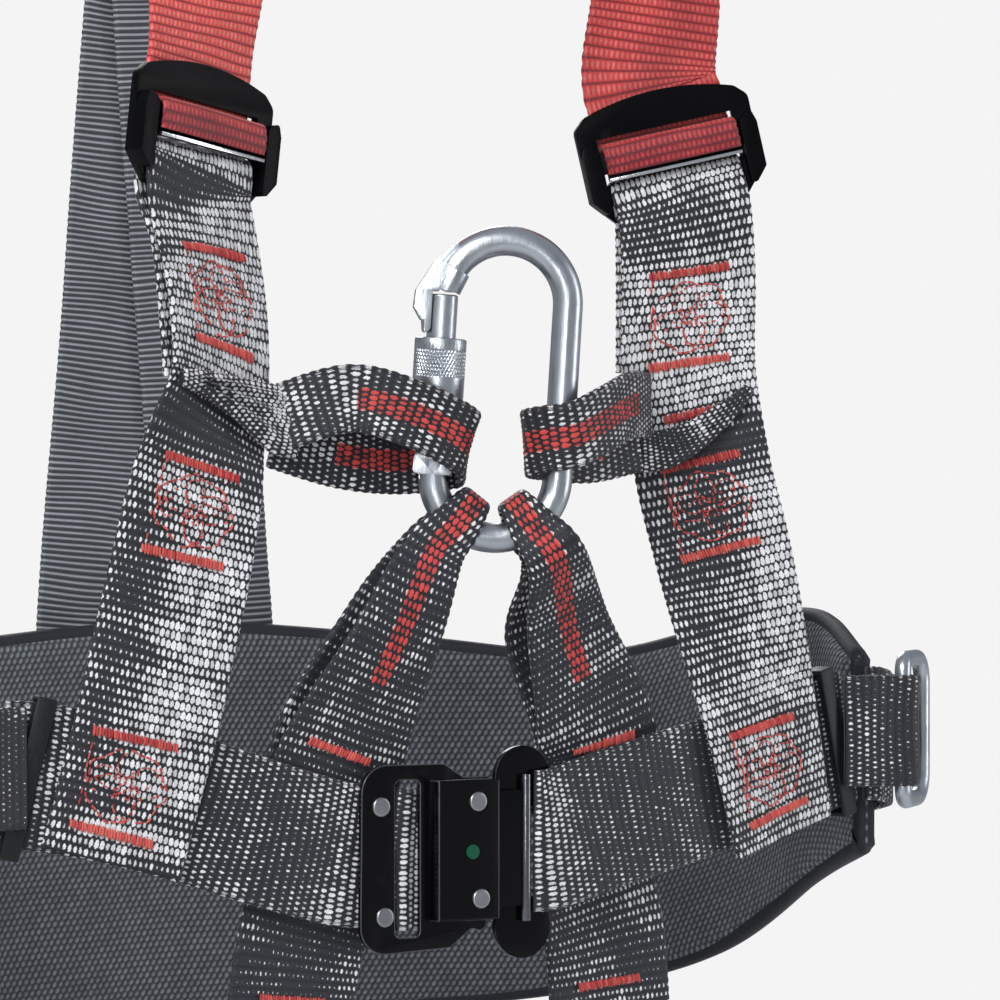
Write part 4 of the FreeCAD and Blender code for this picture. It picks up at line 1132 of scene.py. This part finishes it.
def softened(node, material, width=0.5, segments=3, angle=30, accent=None, where=None, wear_and_edge_highlight=False):
    """The node's own shape with its sharp edges rounded over, an accent material where chosen, and a lighter
    coating on its rounded edges when asked, a painted highlight."""
    mesh = frame["nodes"][node].data.copy()
    bm = bmesh.new()
    bm.from_mesh(mesh)
    bmesh.ops.remove_doubles(bm, verts=bm.verts, dist=0.000002)
    bmesh.ops.dissolve_limit(bm, angle_limit=math.radians(1.5), verts=bm.verts, edges=bm.edges)
    bm.to_mesh(mesh)
    bm.free()
    mesh.materials.clear()
    mesh.materials.append(material)
    if accent:
        mesh.materials.append(accent)
        for face in mesh.polygons:
            face.material_index = int(where(face.center / MM))
    obj = bpy.data.objects.new(f"{node}_finished", mesh)
    bpy.context.scene.collection.objects.link(obj)
    bevel = obj.modifiers.new("edges", "BEVEL")
    bevel.width = width * MM
    bevel.segments = segments
    bevel.limit_method = "ANGLE"
    bevel.angle_limit = math.radians(angle)
    # The bevel faces take the lighter coating: a painted highlight on the rounded edges.
    if wear_and_edge_highlight:
        mesh.materials.append(PAINTED_EDGE_HIGHLIGHT)
        bevel.material = len(mesh.materials) - 1
    applied(obj)
    obj.data.shade_smooth()
    obj.data.set_sharp_from_angle(angle=math.radians(38))
    return place(obj, NODE_BODY[node], node)


def on_lip(side_name):
    """Whether a point of a chest adjuster's bar lies on its bright lower lip."""
    centre, azimuth, roll = ADJUSTERS[side_name]
    back = turned(azimuth, roll).transposed()
    return lambda point: (back @ (point - centre)).y < -4.95


for side_name in SIDES:
    softened(f"adjuster_frame_{side_name}", BLACK_STEEL, 0.7)
    softened(f"leg_adjuster_frame_{side_name}", BLACK_STEEL, 0.7)
    softened(f"adjuster_bar_{side_name}", BLACK_STEEL, 0.25, 2, accent=BRIGHT, where=on_lip(side_name))
    softened(f"leg_adjuster_bar_{side_name}", BRIGHT, 0.25, 2)
    softened(f"belt_keeper_{side_name}", BLACK_PLASTIC, 0.5)
softened("buckle_frame", GLOSS_BLACK, 0.35, wear_and_edge_highlight=True)
softened("buckle_cover", GLOSS_BLACK, 0.4, wear_and_edge_highlight=True)
softened("buckle_tongue", GLOSS_BLACK, 0.4, accent=DARK_BAR, where=lambda point: point.x > 16.6)
softened("release_lever_upper", GLOSS_BLACK, 0.35, wear_and_edge_highlight=True)
softened("release_lever_lower", GLOSS_BLACK, 0.35, wear_and_edge_highlight=True)
softened("dorsal_plate", BLACK_PLASTIC, 0.8)
softened("connector_body", ZINC, 0.5)

for lever, fixed_end in (("upper", -0.0274), ("lower", -0.0306)):
    spring = softened(f"release_spring_{lever}", ZINC, 0.15)
    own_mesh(spring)

for node in ("gate", "gate_pin", "gate_spring", "side_ring_right", "side_ring_left", "dorsal_ring",
             "buckle_rivets", "lock_indicator"):
    for slot in frame["nodes"][node].material_slots:
        slot.material = {"lock_indicator": GREEN, "buckle_rivets": RIVET}.get(node, ZINC)

SLEEVE_R, SLEEVE_BORE = 8.3, 4.9
SLEEVE_LOW, SLEEVE_HIGH = -4.5, 15.0
KNURL = (2.6, 11.2)
KNURL_ROUND, KNURL_PITCH, KNURL_DEPTH = 44, 2.3, 0.34


def knurl(theta, z):
    """Depth below the outer face: two families of slanting grooves between plain rims."""
    turns = theta / math.tau * KNURL_ROUND
    ridges = []
    for lean in (1, -1):
        phase = turns + lean * z / KNURL_PITCH
        ridges.append(np.abs(phase - np.floor(phase) - 0.5) * 2)
    ridge = np.minimum(1 - ridges[0], 1 - ridges[1]) * 1.9
    inside = (z > KNURL[0]) & (z < KNURL[1])
    return np.where(inside, KNURL_DEPTH * np.clip(1 - ridge, 0, 1), 0.0)


def sleeve():
    """Screw sleeve: a turned tube with a knurled band."""
    around = 264
    theta = np.arange(around) * math.tau / around
    rim = 0.6
    lower = [(SLEEVE_BORE, SLEEVE_LOW + 0.3), (SLEEVE_BORE + 0.3, SLEEVE_LOW), (SLEEVE_R - rim, SLEEVE_LOW),
             (SLEEVE_R - 0.2, SLEEVE_LOW + 0.2), (SLEEVE_R, SLEEVE_LOW + rim)]
    band = [(SLEEVE_R, z) for z in np.arange(KNURL[0] - 0.3, KNURL[1] + 0.3, 0.22)]
    upper = [(SLEEVE_R, SLEEVE_HIGH - rim), (SLEEVE_R - 0.2, SLEEVE_HIGH - 0.2), (SLEEVE_R - rim, SLEEVE_HIGH),
             (SLEEVE_R - 1.2, SLEEVE_HIGH), (SLEEVE_R - 1.3, SLEEVE_HIGH - 0.3),
             (SLEEVE_R - 1.3, SLEEVE_HIGH - 5.0), (SLEEVE_BORE, SLEEVE_HIGH - 5.2)]
    profile = np.array([*lower, *band, *upper])
    radius, z = profile[:, :1] + 0 * theta, profile[:, 1:] + 0 * theta
    outer = np.isclose(radius, SLEEVE_R)
    radius = radius - np.where(outer, knurl(theta + 0 * z, z), 0)
    turn = turned(CONNECTOR_AZIMUTH, -CONNECTOR_TILT)
    local = np.stack([GATE_X + radius * np.cos(theta), radius * np.sin(theta), z], -1).reshape(-1, 3)
    points = local @ np.array(turn).T + np.array(CONNECTOR_CENTRE)
    loops, starts = closed_grid(len(profile), around)
    obj = finish_mesh("screw_sleeve_knurled", points, loops, starts, material=ZINC)
    obj.data.set_sharp_from_angle(angle=math.radians(32))
    place(obj, "sleeve", "screw_sleeve")


sleeve()


# ---------------------------------------------------------------- floor, light and camera

def floor():
    s = Shader("floor")
    where = s.node("ShaderNodeTexCoord").outputs["Object"]
    length = s.node("ShaderNodeVectorMath", operation="LENGTH")
    s.feed(length.inputs[0], where)
    s.set(Base_Color=(0.80, 0.80, 0.80), Roughness=0.9)
    s.feed(s.main.inputs["Alpha"], s.ramp(length.outputs["Value"], 0.55, 1.15, 1.0, 0.0))
    bm = bmesh.new()
    bmesh.ops.create_circle(bm, cap_ends=True, segments=96, radius=1.2)
    mesh = bpy.data.meshes.new("floor")
    bm.to_mesh(mesh)
    bm.free()
    mesh.materials.append(s.material)
    obj = bpy.data.objects.new("floor", mesh)
    obj.location = (0, 0, cad_box[0][2] - 0.002)
    bpy.context.scene.collection.objects.link(obj)


def area_light(name, place_at, target, size, power):
    light = bpy.data.lights.new(name, "AREA")
    light.shape = "RECTANGLE"
    light.size, light.size_y = size
    light.energy = power
    obj = bpy.data.objects.new(name, light)
    obj.location = place_at
    obj.rotation_euler = (Vector(target) - Vector(place_at)).to_track_quat("-Z", "Y").to_euler()
    bpy.context.scene.collection.objects.link(obj)


def world():
    """Even pale backdrop for the camera; for the surfaces a dim room, darkest a little above the horizon."""
    made = bpy.data.worlds.new("studio")
    bpy.context.scene.world = made
    made.use_nodes = True
    tree = made.node_tree
    room = tree.nodes["Background"]
    where = tree.nodes.new("ShaderNodeTexCoord")
    split = tree.nodes.new("ShaderNodeSeparateXYZ")
    tree.links.new(where.outputs["Generated"], split.inputs[0])
    ramp = tree.nodes.new("ShaderNodeValToRGB")
    tree.links.new(split.outputs[2], ramp.inputs[0])
    stops = ramp.color_ramp.elements
    stops[0].position, stops[0].color = 0.0, (0.42, 0.43, 0.45, 1)
    stops[1].position, stops[1].color = 0.75, (0.42, 0.44, 0.48, 1)
    middle = stops.new(0.25)
    middle.color = (0.27, 0.30, 0.34, 1)
    tree.links.new(ramp.outputs[0], room.inputs["Color"])
    room.inputs["Strength"].default_value = 0.85
    backdrop = tree.nodes.new("ShaderNodeBackground")
    backdrop.inputs["Color"].default_value = (0.905, 0.905, 0.905, 1)
    sight = tree.nodes.new("ShaderNodeLightPath")
    blend = tree.nodes.new("ShaderNodeMixShader")
    tree.links.new(sight.outputs["Is Camera Ray"], blend.inputs[0])
    tree.links.new(room.outputs[0], blend.inputs[1])
    tree.links.new(backdrop.outputs[0], blend.inputs[2])
    tree.links.new(blend.outputs[0], tree.nodes["World Output"].inputs["Surface"])


CAMERA_AT, CAMERA_TURN, CAMERA_LENS = (-0.760, -1.454, 0.084), -30, 172.98      # metres, degrees, millimetres


def camera():
    data = bpy.data.cameras.new("view")
    data.lens = CAMERA_LENS
    data.sensor_width = 36.0
    obj = bpy.data.objects.new("view", data)
    obj.location = CAMERA_AT
    obj.rotation_euler = (math.radians(90), 0, math.radians(CAMERA_TURN))
    bpy.context.scene.collection.objects.link(obj)
    bpy.context.scene.camera = obj


floor()
world()
camera()
bpy.context.scene.view_settings.view_transform = "Standard"
area_light("key", (-1.7, -1.3, 1.4), (0, -0.05, 0.05), (0.9, 0.9), 33)
area_light("strip", (-1.05, -1.55, 0.45), (0, -0.1, 0.08), (0.22, 1.3), 9)
area_light("fill", (1.9, -1.3, 0.3), (0, -0.05, 0.05), (0.6, 1.6), 11)
area_light("back", (0.6, 1.8, 1.2), (0, 0, 0.05), (1.0, 1.0), 16)
